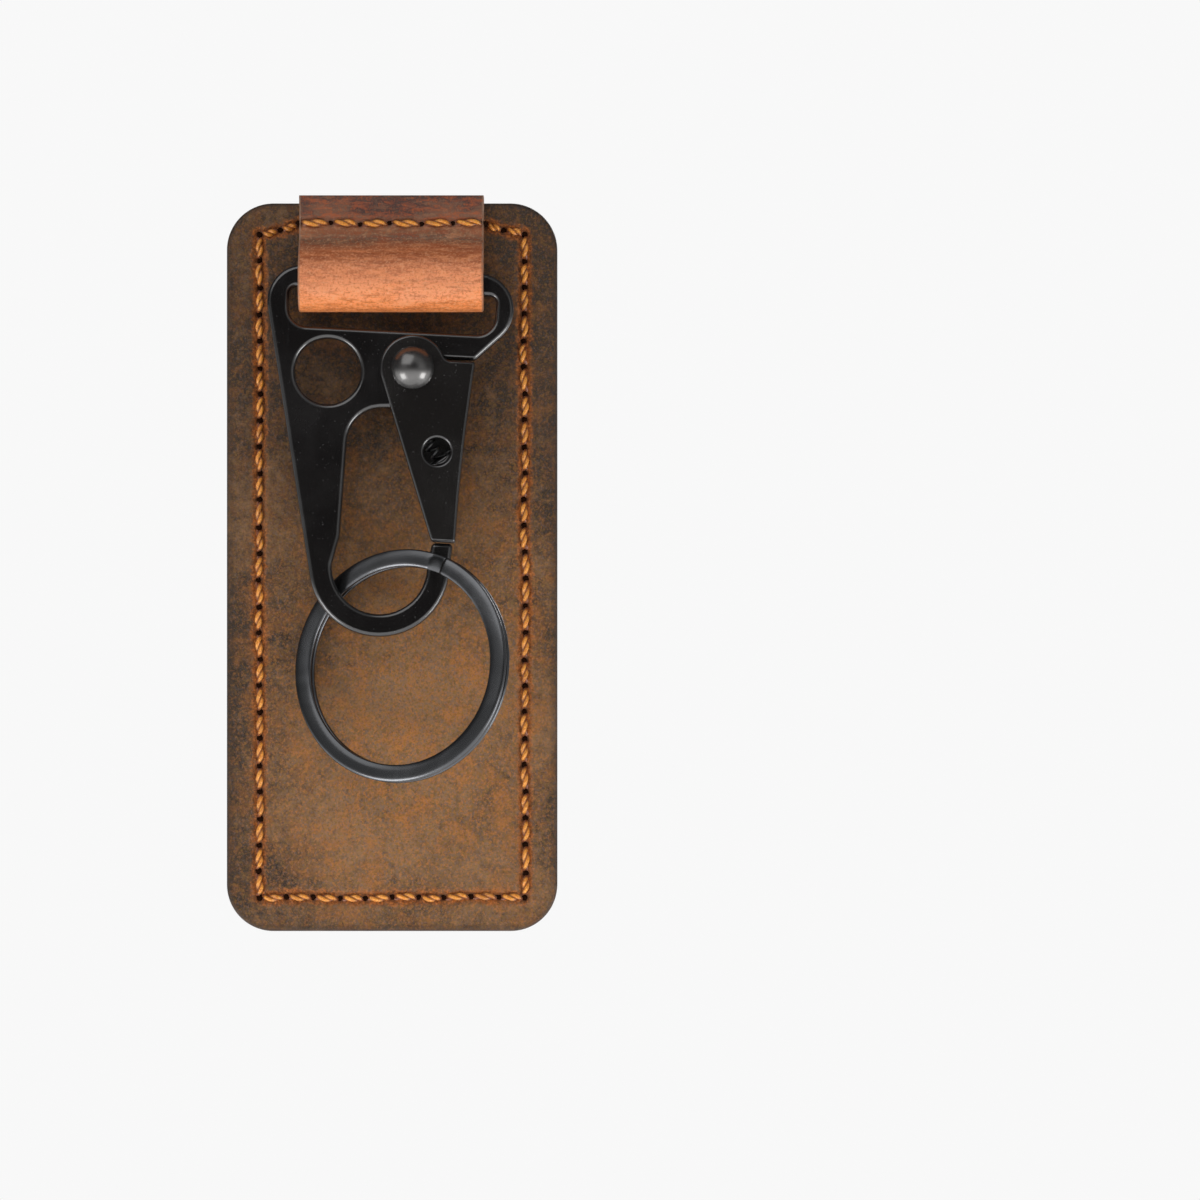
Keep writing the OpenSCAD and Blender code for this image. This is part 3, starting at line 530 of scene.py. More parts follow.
def strap_material():
    """Wine-brown above the seam, grey-brown below it, tan where it bends, pale on the cut edges."""
    made, tree = new_material("strap_leather")
    along = attribute_of(tree, "along")
    streak = clouds(tree, place(tree, (0.24, 1, 1)), 0.00062, 4, 0.7, 0.3)
    blotch = clouds(tree, place(tree, (0.4, 1, 1)), 0.0034, 4, 0.62, 0.5)
    speck = clouds(tree, place(tree), 0.00036, 2, 0.7)
    wander = plus(tree, along, times(tree, less(tree, blotch, 0.5), 0.006))
    wander = plus(tree, wander, times(tree, less(tree, streak, 0.5), 0.003))
    bands = add(tree, "ShaderNodeValToRGB", {"Fac": ramp(tree, wander, 0.0, 0.022)})
    stops = [(0.0, srgb(62, 50, 46)), (0.1, srgb(82, 66, 56)), (0.16, srgb(146, 92, 60)),
             (0.22, srgb(136, 96, 68)), (0.29, srgb(94, 80, 66)), (0.36, srgb(140, 94, 70)),
             (0.45, srgb(196, 112, 68)), (0.56, srgb(226, 140, 94)), (0.64, srgb(244, 156, 108)),
             (0.73, srgb(246, 144, 76)), (1.0, srgb(150, 90, 54))]
    for position, _ in stops[1:-1]:
        bands.color_ramp.elements.new(position)
    for element, (position, colour) in zip(bands.color_ramp.elements, stops):
        element.position, element.color = position, colour
    ends = ramp(tree, along, 0.0025, 0.0045, 1.0, 0.0)
    scuffed = times(tree, ramp(tree, blotch, 0.48, 0.36, 0.0, 0.75), ramp(tree, streak, 0.4, 0.6, 0.1, 1.0))
    dyed = ramp(tree, blotch, 0.45, 0.53, 0.0, 0.92)
    dark = times(tree, ramp(tree, streak, 0.48, 0.66, 0.0, 0.85), ramp(tree, along, 0.009, 0.014, 1.0, 0.6))
    pale = times(tree, ramp(tree, streak, 0.5, 0.34, 0.0, 0.6), ramp(tree, along, 0.003, 0.01, 0.25, 1.0))
    light = times(tree, ramp(tree, speck, 0.52, 0.68, 0.0, 0.55), ramp(tree, along, 0.003, 0.01, 0.15, 1.0))
    flecked = ramp(tree, speck, 0.48, 0.34, 0.0, 0.5)
    # Near-black spots at the needle holes: painted shade of the holes.
    punched = times(tree, attribute_of(tree, "hole_near"), ramp(tree, speck, 0.3, 0.6, 0.7, 1.0))
    cut = times(tree, attribute_of(tree, "edge_near"), ramp(tree, speck, 0.3, 0.6, 0.25, 0.8))
    colour = coated(tree, bands, (
        (times(tree, scuffed, ends), srgb(164, 98, 62)), (times(tree, dyed, ends), srgb(42, 35, 37)),
        (dark, srgb(150, 76, 44)), (pale, srgb(242, 156, 102)), (light, srgb(236, 170, 124)),
        (flecked, srgb(170, 86, 40)), (punched, srgb(30, 13, 7)), (cut, srgb(140, 112, 92))))
    height = plus(tree, times(tree, streak, 0.6), times(tree, speck, 0.3))
    rough = ramp(tree, streak, 0.3, 0.7, 0.44, 0.62)
    surface(tree, colour, rough, height, 0.0001, {"Specular IOR Level": 0.38})
    return made


strap_piece = strap_loop(strap_material())
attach(strap_piece, "pad")
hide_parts("hook_loop")


# Stitching
# Waxed two-ply thread, lock-stitched by machine right through both panels and
# the strap's ends. Each stitch lies in the groove and dives at its holes.

def thread_material(name, colour, shade, gleam):
    """Twisted thread with fine fibres along its plies: painted shade between the two plies and where it lies
    low, and lighter fibres in the gleam colour as painted highlights.
    """
    made, tree = new_material(name)
    fibre = clouds(tree, place(tree), 0.00018, 3, 0.7)
    broad = clouds(tree, place(tree), 0.003, 2, 0.5)
    mixed = coated(tree, colour, (
        (ramp(tree, fibre, 0.4, 0.6, 0.0, 0.85), gleam), (ramp(tree, broad, 0.5, 0.66, 0.0, 0.35), shade),
        # Ply and rise paint shade between the plies and where the thread lies low.
        (ramp(tree, attribute_of(tree, "ply"), 0.1, 0.45, 0.7, 0.0), shade),
        (ramp(tree, attribute_of(tree, "rise"), 0.2, 0.5, 0.95, 0.0), shade)))
    surface(tree, mixed, ramp(tree, fibre, 0.3, 0.7, 0.3, 0.46), times(tree, fibre, 0.6), 0.00006,
            {"Sheen Weight": 0.15, "Specular IOR Level": 0.6})
    return made


def hole_material():
    """Dark spot that paints the shade inside a needle hole."""
    made, tree = new_material("needle_hole")
    grain = clouds(tree, place(tree), 0.0003, 2)
    colour = coated(tree, srgb(12, 4, 1), ((grain, srgb(44, 20, 8)),))
    surface(tree, colour, ramp(tree, grain, 0, 1, 0.7, 0.9), grain, 0.0001, {"Specular IOR Level": 0.05})
    return made


def twisted_stitch(tree, given):
    """One stitch along X: two plies wound round each other, diving and thinning at both ends."""
    ply_share, aside_share, sink_share, thinned_share = 0.29, 0.21, 2.2, 0.66
    rail = add(tree, "GeometryNodeCurvePrimitiveLine", {"Start": (-0.5, 0, 0), "End": (0.5, 0, 0)})
    rings = add(tree, "GeometryNodeResampleCurve", {"Curve": rail, "Count": 14})
    factor = add(tree, "GeometryNodeSplineParameter").outputs["Factor"]
    centred = less(tree, factor, 0.5)
    dive = calc(tree, "POWER", calc(tree, "ABSOLUTE", times(tree, centred, 2.0)), 3.0)
    raised = less(tree, given["Lift"], times(tree, dive, times(tree, given["Lift"], sink_share)))
    along = times(tree, centred, given["Stitch length"])
    where = add(tree, "ShaderNodeCombineXYZ", {"X": along, "Z": raised})
    bent = add(tree, "GeometryNodeSetPosition", {"Geometry": rings, "Position": where})
    twist = times(tree, times(tree, factor, given["Turns"]), 2 * pi)
    turned = add(tree, "GeometryNodeSetCurveTilt", {"Curve": bent, "Tilt": twist})
    thin = less(tree, 1.0, times(tree, dive, thinned_share))
    taper = add(tree, "GeometryNodeSetCurveRadius", {"Curve": turned, "Radius": thin})
    plies = add(tree, "GeometryNodeJoinGeometry")
    for side in (-1, 1):
        ply_r = times(tree, given["Thread"], ply_share)
        ply = add(tree, "GeometryNodeCurvePrimitiveCircle", {"Resolution": 8, "Radius": ply_r})
        aside = add(tree, "ShaderNodeCombineXYZ", {"X": times(tree, given["Thread"], aside_share * side)})
        moved = add(tree, "GeometryNodeSetPosition", {"Geometry": ply, "Offset": aside})
        feed(tree, plies.inputs[0], moved)
    at = add(tree, "ShaderNodeSeparateXYZ", {0: add(tree, "GeometryNodeInputPosition")}).outputs
    kept = add(tree, "GeometryNodeCaptureAttribute", domain="POINT")
    kept.capture_items.new("FLOAT", "Around")
    outward = calc(tree, "DIVIDE", calc(tree, "ABSOLUTE", at["X"]), times(tree, given["Thread"], 0.5))
    feed(tree, kept.inputs["Around"], outward)
    feed(tree, kept.inputs["Geometry"], plies)
    thread = add(tree, "GeometryNodeCurveToMesh", {"Curve": taper, "Profile Curve": kept, "Fill Caps": True})
    risen = calc(tree, "DIVIDE", at["Z"], given["Thread"])
    for label, value in (("ply", kept.outputs["Around"]), ("rise", risen)):
        feeds = {"Geometry": thread, "Name": label, "Value": value}
        thread = add(tree, "GeometryNodeStoreNamedAttribute", feeds, data_type="FLOAT", domain="POINT")
    return add(tree, "GeometryNodeSetMaterial", {"Geometry": thread, "Material": given["Thread material"]})


def laid_stitches(tree, given, stitch):
    """The stitch on each edge of the seam line, stretched to fit and rolled a little at random."""
    roll_most = 0.35
    ends = add(tree, "GeometryNodeInputMeshEdgeVertices").outputs
    way = add(tree, "ShaderNodeVectorMath", {0: ends["Position 2"], 1: ends["Position 1"]},
              operation="SUBTRACT")
    size = add(tree, "ShaderNodeVectorMath", {0: way}, operation="LENGTH").outputs["Value"]
    caught = add(tree, "GeometryNodeCaptureAttribute", domain="EDGE")
    caught.capture_items.new("VECTOR", "Way")
    caught.capture_items.new("FLOAT", "Run")
    for label, value in (("Geometry", given["Geometry"]), ("Way", way), ("Run", size)):
        feed(tree, caught.inputs[label], value)
    middles = add(tree, "GeometryNodeMeshToPoints", {"Mesh": caught}, mode="EDGES")
    facing = add(tree, "FunctionNodeAxesToRotation",
                 {"Primary Axis": caught.outputs["Way"], "Secondary Axis": given["Outward"]},
                 primary_axis="X", secondary_axis="Z")
    rolled = add(tree, "FunctionNodeRandomValue", {2: -roll_most, 3: roll_most, "Seed": given["Seed"]},
                 data_type="FLOAT")
    roll = add(tree, "FunctionNodeAxisAngleToRotation", {"Axis": (1, 0, 0), "Angle": rolled.outputs[1]})
    aimed = add(tree, "FunctionNodeRotateRotation", {"Rotation": facing, "Rotate By": roll},
                rotation_space="LOCAL")
    reach = less(tree, caught.outputs["Run"], given["Gap"])
    stretch = add(tree, "ShaderNodeCombineXYZ",
                  {"X": calc(tree, "DIVIDE", reach, given["Stitch length"]), "Y": 1.0, "Z": 1.0})
    return add(tree, "GeometryNodeInstanceOnPoints",
               {"Points": middles, "Instance": stitch, "Rotation": aimed, "Scale": stretch})


def torn_holes(tree, given):
    """Flat dark spot with a torn outline, painted shade of the needle hole, at each point of the seam line,
    its turn and size at random.
    """
    torn_most, sunk = 0.0009, 0.00012
    narrow, wide, flatness = 0.75, 1.15, 0.14
    blot = add(tree, "GeometryNodeMeshIcoSphere", {"Subdivisions": 2, "Radius": given["Hole size"]})
    wear = add(tree, "ShaderNodeTexNoise", {"Scale": 1 / 0.0004}).outputs["Color"]
    shoved = add(tree, "ShaderNodeVectorMath",
                 {0: wear, 1: (torn_most, 0, torn_most), 2: (-torn_most / 2, 0, -torn_most / 2)},
                 operation="MULTIPLY_ADD")
    torn = add(tree, "GeometryNodeSetPosition", {"Geometry": blot, "Offset": shoved})
    hole_shade = add(tree, "GeometryNodeSetMaterial", {"Geometry": torn, "Material": given["Hole material"]})
    punched = add(tree, "GeometryNodeMeshToPoints", {"Mesh": given["Geometry"]}, mode="VERTICES")
    inward = add(tree, "ShaderNodeVectorMath", {0: given["Outward"], "Scale": -sunk}, operation="SCALE")
    spots = add(tree, "GeometryNodeSetPosition", {"Geometry": punched, "Offset": inward})
    limits = {"Rotation": ((0, -pi, 0), (0, pi, 0)),
              "Scale": ((narrow, flatness, narrow), (wide, flatness, wide))}
    uneven = {label: add(tree, "FunctionNodeRandomValue", {0: low, 1: high, "Seed": given["Seed"]},
                         data_type="FLOAT_VECTOR") for label, (low, high) in limits.items()}
    return add(tree, "GeometryNodeInstanceOnPoints", {"Points": spots, "Instance": hole_shade} | uneven)


def stitch_tree():
    """Geometry Nodes: a twisted stitch on each edge of a seam line and a dark hole at each point."""
    tree = bpy.data.node_groups.new("lock_stitch", "GeometryNodeTree")
    numbers = ("Stitch length", "Thread", "Lift", "Turns", "Gap", "Hole size")
    for kind, labels in (("Geometry", ("Geometry",)), ("Float", numbers), ("Vector", ("Outward",)),
                         ("Int", ("Seed",)), ("Material", ("Thread material", "Hole material"))):
        for label in labels:
            tree.interface.new_socket(label, in_out="INPUT", socket_type="NodeSocket" + kind)
    tree.interface.new_socket("Geometry", in_out="OUTPUT", socket_type="NodeSocketGeometry")
    given = add(tree, "NodeGroupInput").outputs
    sewn = laid_stitches(tree, given, twisted_stitch(tree, given))
    holed = torn_holes(tree, given)
    both = add(tree, "GeometryNodeJoinGeometry", {0: sewn})
    feed(tree, both.inputs[0], holed)
    real = add(tree, "GeometryNodeRealizeInstances", {0: both})
    add(tree, "NodeGroupOutput", {0: add(tree, "GeometryNodeSetShadeSmooth", {0: real})})
    return tree


def sewn_seam(name, tree, lines, values):
    """Runs the stitch tree over hole lines of x, y, z points and keeps the plain mesh."""
    verts, edges = [], []
    for line in lines:
        edges += [(len(verts) + i, len(verts) + i + 1) for i in range(len(line) - 1)]
        verts += [tuple(p) for p in line]
    mesh = bpy.data.meshes.new(name + "_line")
    mesh.from_pydata(verts, edges, [])
    guide = linked(name + "_line", mesh)
    sewing = guide.modifiers.new("sewing", "NODES")
    sewing.node_group = tree
    sockets = {s.name: s.identifier for s in tree.interface.items_tree if s.in_out == "INPUT"}
    for label, value in values.items():
        sewing[sockets[label]] = value
    graph = bpy.context.evaluated_depsgraph_get()
    made = bpy.data.meshes.new_from_object(guide.evaluated_get(graph), preserve_all_data_layers=True,
                                           depsgraph=graph)
    made.name = name
    bpy.data.objects.remove(guide)
    return linked(name, made)


FRONT_FLOOR = PANEL_LOW.y + 0.0003
STRAP_FLOOR = PANEL_LOW.y - 2 * STRAP_T + 0.00022
BACK_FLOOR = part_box("back_panel")[1].y - 0.00032
front_thread = thread_material("front_thread", srgb(218, 122, 24), srgb(118, 54, 10), srgb(255, 182, 72))
back_thread = thread_material("back_thread", srgb(120, 62, 34), srgb(54, 28, 18), srgb(168, 100, 54))
hole_shade_blots = hole_material()
lock_stitch = stitch_tree()
front_lines = [[(x, FRONT_FLOOR, z) for x, z in run] for run in FRONT_RUNS]
front_lines.append([(x, STRAP_FLOOR, z) for x, z in CROSS_RUN])
back_lines = [[(x, BACK_FLOOR, z) for x, z in run] for run in BACK_RUNS]
front_seam = sewn_seam("front_stitching", lock_stitch, front_lines, {
    "Stitch length": 0.0035, "Thread": 0.00108, "Lift": 0.0003, "Turns": 0.9, "Gap": 0.00095,
    "Hole size": 0.0004, "Outward": (0, -1, 0), "Seed": 5,
    "Thread material": front_thread, "Hole material": hole_shade_blots})
back_seam = sewn_seam("back_stitching", lock_stitch, back_lines, {
    "Stitch length": 0.0035, "Thread": 0.00055, "Lift": 0.00014, "Turns": 2.0, "Gap": 0.0003,
    "Hole size": 0.00022, "Outward": (0, 1, 0), "Seed": 8,
    "Thread material": back_thread, "Hole material": hole_shade_blots})
for piece, node in ((front_seam, "front_stitches"), (back_seam, "back_stitches")):
    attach(piece, "pad")
    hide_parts(node)


# Belt clip
# One strip of spring steel, pressed to shape, hardened and enamelled black.
# The base is riveted to the back panel; its sheared edges are bright bare steel where the enamel has gone,
# which also stands as a painted highlight line.

def blackened_steel_group():
    """Black finish on steel: faint cloudiness, dust specks and hairline scratches."""
    tree, given = new_group("blackened_steel", ("Black", "Haze"), ("Specks", "Scratches", "Smooth", "Rough"))
    where = place(tree)
    haze = clouds(tree, where, 0.009, 4, 0.6, 0.6)
    grit = clouds(tree, where, 0.00035, 2, 0.6)
    line = clouds(tree, place(tree, (1, 1, 0.06)), 0.0004, 2, 0.5, 0.2)
    colour = coated(tree, given["Black"], (
        (ramp(tree, haze, 0.42, 0.7, 0.0, 0.6), given["Haze"]),
        (times(tree, ramp(tree, grit, 0.68, 0.76), given["Specks"]), srgb(104, 104, 104)),
        (times(tree, ramp(tree, line, 0.7, 0.76), given["Scratches"]), srgb(86, 86, 90))))
    feeds = {0: ramp(tree, haze, 0.35, 0.68), 2: given["Smooth"], 3: given["Rough"]}
    rough = add(tree, "ShaderNodeMix", feeds, data_type="FLOAT")
    height = plus(tree, grit, times(tree, haze, 0.5))
    add(tree, "NodeGroupOutput", {"Color": colour, "Roughness": rough, "Height": height})
    return tree


def steel_material(name, metal, depth, specular, coat, **finish):
    """Steel in the shared black finish; finish gives that group's own inputs."""
    made, tree = new_material(name)
    feeds = {label.capitalize(): value for label, value in finish.items()}
    blacked = add(tree, "ShaderNodeGroup", feeds, node_tree=blackened_steel)
    surface(tree, *blacked.outputs, depth, {"Metallic": metal, "Specular IOR Level": specular,
                                            "Coat Weight": coat, "Coat Roughness": 0.12})
    return made


def deburred(name, node, width, steps, face_material, edge_material, sharp=32):
    """Copy of a CAD node with its doubles merged and every sharp edge broken."""
    same_place, sliver, flat_within = 2e-6, 3e-5, radians(1)
    mesh = frame["nodes"][node].data.copy()
    mesh.name = name
    shape = bmesh.new()
    shape.from_mesh(mesh)
    bmesh.ops.remove_doubles(shape, verts=shape.verts, dist=same_place)
    bmesh.ops.dissolve_degenerate(shape, edges=shape.edges, dist=sliver)
    bmesh.ops.dissolve_limit(shape, angle_limit=flat_within, verts=shape.verts, edges=shape.edges)
    shape.to_mesh(mesh)
    shape.free()
    if mesh.has_custom_normals:
        mesh.attributes.remove(mesh.attributes["custom_normal"])
    mesh.materials.clear()
    mesh.materials.append(face_material)
    mesh.materials.append(edge_material)
    mesh.shade_smooth()
    piece = linked(name, mesh)
    bevel = piece.modifiers.new("broken_edges", "BEVEL")
    bevel.width, bevel.segments, bevel.limit_method = width, steps, "ANGLE"
    bevel.angle_limit = radians(sharp)
    bevel.material = 1
    bevel.use_clamp_overlap = False
    flat = piece.modifiers.new("flat_faces", "WEIGHTED_NORMAL")
    flat.keep_sharp = True
    return piece


blackened_steel = blackened_steel_group()
clip_black = steel_material("clip_enamel", 0.0, 0.000005, 0.36, 0.0, black=srgb(7, 7, 8),
                            haze=srgb(15, 15, 17), specks=0.2, scratches=0.3, smooth=0.14, rough=0.24)
# Light steel on the broken edges: partly bare steel, partly a painted highlight line.
clip_edge = steel_material("clip_edge", 0.9, 0.00001, 0.5, 0.0, black=srgb(120, 120, 122),
                           haze=srgb(168, 168, 170), specks=0.2, scratches=0.2, smooth=0.25, rough=0.42)
for name, node, body in (("clip_base_plate", "clip_base", "pad"), ("clip_spring_arm", "clip_arm", "clip")):
    piece = deburred(name, node, 0.00016, 2, clip_black, clip_edge)
    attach(piece, body)
    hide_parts(node)


# Clip rivets
# Two flat-headed steel rivets hold the clip's base to the back panel. Each is
# spread over a washer inside the pad before the front panel is glued on.

rivet_black = steel_material("rivet_enamel", 0.0, 0.000006, 0.5, 0.2, black=srgb(18, 18, 20),
                             haze=srgb(40, 40, 44), specks=0.3, scratches=0.2, smooth=0.2, rough=0.34)
for name, node in (("clip_rivet_pair", "clip_rivets"), ("rivet_washers", "rivet_caps")):
    piece = deburred(name, node, 0.00008, 2, rivet_black, rivet_black)
    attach(piece, "pad")
    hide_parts(node)


# Snap hook
# Flat hook stamped from steel plate, tumbled so that its edges are round, and
# blackened to a satin finish. The strap runs through its slot.

hook_black = steel_material("hook_satin_black", 0.0, 0.000006, 0.4, 0.0, black=srgb(17, 15, 15),
                            haze=srgb(27, 25, 25), specks=0.4, scratches=0.06, smooth=0.2, rough=0.28)
# The broken edges get a lighter, glossier copy of the black: partly bare steel where the black has come off,
# partly a painted highlight line.
hook_edge = steel_material("hook_edge_wear_and_highlight", 0.4, 0.000005, 0.8, 0.6, black=srgb(34, 33, 33),
                           haze=srgb(62, 61, 62), specks=0.5, scratches=0.1, smooth=0.14, rough=0.24)
hook_piece = deburred("snap_hook", "hook_body", 0.0006, 6, hook_black, hook_edge)
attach(hook_piece, "hook")
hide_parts("hook_body")


# Gate
# Thin sheet folded over the hook's plate, so that it swings in like a clasp.
# A bent lug inside takes the spring that holds it shut.

gate_black = steel_material("gate_satin_black", 0.0, 0.000006, 0.4, 0.0, black=srgb(25, 23, 22),
                            haze=srgb(35, 33, 32), specks=0.4, scratches=0.06, smooth=0.2, rough=0.28)
gate_piece = deburred("hook_gate", "gate", 0.0004, 4, gate_black, hook_edge)
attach(gate_piece, "gate")
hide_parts("gate")


# Gate rivet
# Domed rivet that the gate turns on, polished by the heading tool, then
# blackened. Its tail is headed flat behind the plate.

dome_black = steel_material("dome_polished_black", 0.85, 0.000002, 0.6, 0.2, black=srgb(88, 87, 86),
                            haze=srgb(108, 107, 106), specks=0.2, scratches=0.1, smooth=0.22, rough=0.27)
dome_piece = deburred("gate_rivet_dome", "gate_rivet", 0.00012, 2, dome_black, dome_black, 50)
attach(dome_piece, "hook")
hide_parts("gate_rivet")


# Gate spring
# Coil of bare spring wire between the hook's shoulder and the gate's lug.
# On the real hook it shortens along its own line as the gate is pushed in; this coil keeps one length.

def spring_coil(start, way, side, length, radius, wire_d, turns, material):
    """Helix of round wire along way from start; side is square to way."""
    way, side = way.normalized(), side.normalized()
    third = way.cross(side)
    steps_a_turn, sides = 20, 10
    rings = turns * steps_a_turn
    verts = []
    for i in range(rings + 1):
        turn = 2 * pi * i / steps_a_turn
        out = side * cos(turn) + third * sin(turn)
        centre = start + way * (wire_d / 2 + (length - wire_d) * i / rings) + out * (radius - wire_d / 2)
        for a in (2 * pi * j / sides for j in range(sides)):
            verts.append(tuple(centre + out * (wire_d / 2 * cos(a)) + way * (wire_d / 2 * sin(a))))
    return tube_piece("gate_spring_coil", verts, sides, {}, material)


def hook_turned(x, y, z):
    """Direction in the hanging hook's own frame, as it lies in the pad's."""
    y, z = y * cos(HOOK_TILT) - z * sin(HOOK_TILT), y * sin(HOOK_TILT) + z * cos(HOOK_TILT)
    return Vector((x * cos(HOOK_LEAN) + z * sin(HOOK_LEAN), y, -x * sin(HOOK_LEAN) + z * cos(HOOK_LEAN)))


HOOK_LEAN, HOOK_TILT, SPRING_ANGLE = radians(2.9), radians(-1.8), radians(38)
SPRING_LENGTH, SPRING_R, SPRING_WIRE, SPRING_TURNS = 0.009, 0.001, 0.00035, 7
spring_low, spring_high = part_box("gate_spring")
spring_way = hook_turned(sin(SPRING_ANGLE), 0, -cos(SPRING_ANGLE))
spring_start = (spring_low + spring_high) / 2 - spring_way * (SPRING_LENGTH / 2)
wire_steel = steel_material("spring_wire", 0.9, 0.000006, 0.5, 0.0, black=srgb(66, 66, 66),
                            haze=srgb(90, 90, 90), specks=0.2, scratches=0.2, smooth=0.28, rough=0.4)
spring_piece = spring_coil(spring_start, spring_way, hook_turned(cos(SPRING_ANGLE), 0, sin(SPRING_ANGLE)),
                           SPRING_LENGTH, SPRING_R, SPRING_WIRE, SPRING_TURNS, wire_steel)
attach(spring_piece, "hook")
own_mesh(spring_piece)
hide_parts("gate_spring")


# Split ring
# Two turns of flat spring wire, coiled, then blued to a gunmetal grey. It is
# threaded through the hook's eye and passes behind the bow.

RING_R = 0.016
RING_WIDE, RING_THICK, COIL_GAP = 0.0024, 0.00085, 0.0001
RING_TILT, RING_TILT_LINE = radians(26), radians(73)
CUT_ANGLE, STEP_ANGLE = radians(66), radians(9)
ring_turned = Matrix.Rotation(RING_TILT, 3, (-cos(RING_TILT_LINE), 0, -sin(RING_TILT_LINE)))
ring_centre = Vector(next(m for m in frame["record"]["mounts"] if m["name"] == "key_ring")["pos_m"])


def ring_section():
    """Points across the flattened wire: outward, and along the ring's axis."""
    fullness, count = 2.8, 32
    points = []
    for t in (2 * pi * step / count for step in range(count)):
        out, up = (abs(v) ** (2 / fullness) * (1 if v > 0 else -1) for v in (cos(t), sin(t)))
        points.append((RING_WIDE / 2 * out, RING_THICK / 2 * up))
    return points


def split_ring(material):
    """Two coils of flat wire: rear coil, a short smooth step, then the front coil."""
    layer = (RING_THICK + COIL_GAP) / 2
    start, round_once, end = CUT_ANGLE + STEP_ANGLE, CUT_ANGLE + 2 * pi, CUT_ANGLE + 4 * pi
    coil_rings, step_rings, ease, shrunk = 260, 18, 0.0002, 0.06
    turns = np.concatenate([np.linspace(start, round_once, coil_rings),
                            np.linspace(round_once, start + 2 * pi, step_rings)[1:],
                            np.linspace(start + 2 * pi, end, coil_rings)[1:]])
    section = ring_section()
    verts = []
    for turn in turns:
        share = min(max((turn - round_once) / STEP_ANGLE, 0.0), 1.0)
        shift = layer - 2 * layer * share * share * (3 - 2 * share)
        near_end = min(turn - start, end - turn) * RING_R
        shrink = 1 - shrunk * max(0.0, 1 - near_end / ease)
        for out, up in section:
            r = RING_R - RING_WIDE / 2 + out * shrink
            local = Vector((r * cos(turn), shift - up * shrink, r * sin(turn)))
            verts.append(tuple(ring_centre + ring_turned @ local))
    return tube_piece("split_ring", verts, len(section), {}, material)


ring_grey = steel_material("ring_gunmetal", 0.9, 0.000003, 0.5, 0.0, black=srgb(82, 83, 85),
                           haze=srgb(110, 111, 114), specks=0.3, scratches=0.2, smooth=0.18, rough=0.28)
ring_piece = split_ring(ring_grey)
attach(ring_piece, "ring")
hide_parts("key_ring")


# Studio
# White floor and surroundings, a big soft light high on the left, three small
# low ones that draw the lower edges, and one behind for the back.

def soft_light(name, place_at, size, watts):
    """Square lamp that looks at the middle of the piece."""
    lamp = bpy.data.lights.new(name, "AREA")
    lamp.shape, lamp.size, lamp.energy = "SQUARE", size, watts
    holder = linked(name, lamp)
    holder.location = place_at
    holder.rotation_euler = (PIECE_MIDDLE - Vector(place_at)).to_track_quat("-Z", "Y").to_euler()


def backlit(tree, strength):
    """Plain white background of that strength."""
    return add(tree, "ShaderNodeBackground", {"Color": (1, 1, 1, 1), "Strength": strength})


PIECE_MIDDLE = Vector((0.0, -0.01, -0.04))
soft_light("high_left", (-0.32, -0.55, 0.5), 0.7, 2.2)
soft_light("low_left", (-0.23, -0.18, -0.22), 0.14, 0.36)
soft_light("low_middle", (0.01, -0.22, -0.34), 0.14, 0.42)
soft_light("low_right", (0.25, -0.18, -0.21), 0.14, 0.42)
soft_light("behind", (0.35, 0.6, 0.4), 0.5, 5.6)

WHITE = (0.94, 0.94, 0.94, 1)
FLOOR_HALF, FLOOR_Z = 6, PANEL_LOW.z - 0.2
floor_mesh = bpy.data.meshes.new("floor")
corners = [(x * FLOOR_HALF, y * FLOOR_HALF, FLOOR_Z) for x, y in ((-1, -1), (1, -1), (1, 1), (-1, 1))]
floor_mesh.from_pydata(corners, [], [(0, 1, 2, 3)])
floor = linked("floor", floor_mesh)
floor_white, tree = new_material("floor_white")
floor_mesh.materials.append(floor_white)
paper = add(tree, "ShaderNodeBsdfDiffuse", {"Color": (0.86, 0.86, 0.86, 1)})
rays = add(tree, "ShaderNodeLightPath").outputs
aside = add(tree, "ShaderNodeVectorMath", {0: place(tree, (1, 1, 0))}, operation="LENGTH").outputs["Value"]
far = ramp(tree, aside, 0.12, 0.4)
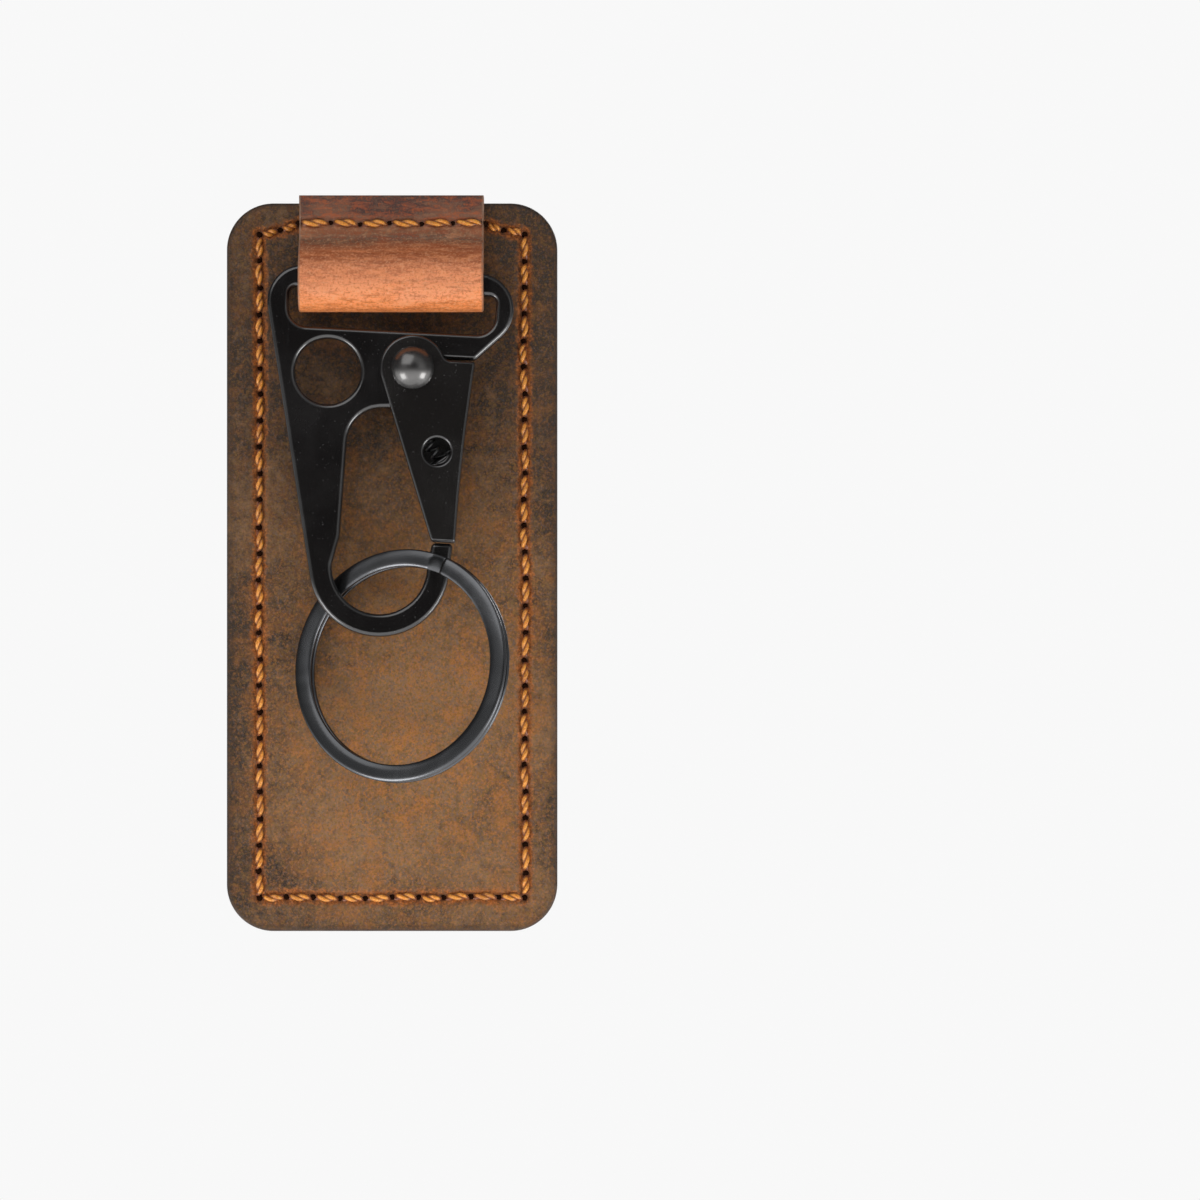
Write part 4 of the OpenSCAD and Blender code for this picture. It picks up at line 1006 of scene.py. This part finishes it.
# Reflections see the floor glow brighter than the backdrop near the piece: a painted reflection that lights
# the lower edges.
gloss = ramp(tree, aside, 0.6, 1.8, 0.8, -0.55)
strength = plus(tree, 1.0, times(tree, rays["Is Glossy Ray"], gloss))
glow = add(tree, "ShaderNodeEmission", {"Color": WHITE, "Strength": strength})
seen = times(tree, rays["Is Camera Ray"], far)
for kind in ("Is Glossy Ray", "Is Transmission Ray"):
    seen = calc(tree, "MAXIMUM", seen, rays[kind])
fade = add(tree, "ShaderNodeMixShader", {"Fac": seen, 1: paper, 2: glow})
add(tree, "ShaderNodeOutputMaterial", {"Surface": fade})

world = bpy.data.worlds.new("studio")
world.use_nodes = True
bpy.context.scene.world = world
tree = world.node_tree
tree.nodes.clear()
aim = add(tree, "ShaderNodeSeparateXYZ", {0: add(tree, "ShaderNodeTexCoord").outputs["Generated"]}).outputs
toward = calc(tree, "ABSOLUTE", aim["Y"])
around = times(tree, ramp(tree, toward, 0.8, 0.96, WHITE[0], 0.05), ramp(tree, toward, 0.3, 0.66, 0.25, 1.0))
around = times(tree, around, ramp(tree, aim["Z"], 0.0, 0.4, 0.8, 0.48))
around = times(tree, around, ramp(tree, aim["X"], -0.8, 0.2, 0.5, 1.0))
rays = add(tree, "ShaderNodeLightPath").outputs
mirrored = calc(tree, "MAXIMUM", rays["Is Glossy Ray"], rays["Is Transmission Ray"])
lit = add(tree, "ShaderNodeMixShader", {"Fac": mirrored, 1: backlit(tree, 0.32), 2: backlit(tree, around)})
final = add(tree, "ShaderNodeMixShader", {"Fac": rays["Is Camera Ray"], 1: lit, 2: backlit(tree, WHITE[0])})
add(tree, "ShaderNodeOutputWorld", {"Surface": final})

camera = bpy.data.cameras.new("camera")
camera.lens, camera.sensor_width = 218.4, 36
camera.clip_start, camera.clip_end = 0.05, 30
stand = linked("camera", camera)
stand.location = (0.02857, PANEL_LOW.y - 1.0, -0.0456)
stand.rotation_euler = (radians(90), 0, 0)
bpy.context.scene.camera = stand
bpy.context.scene.view_settings.view_transform = "Standard"
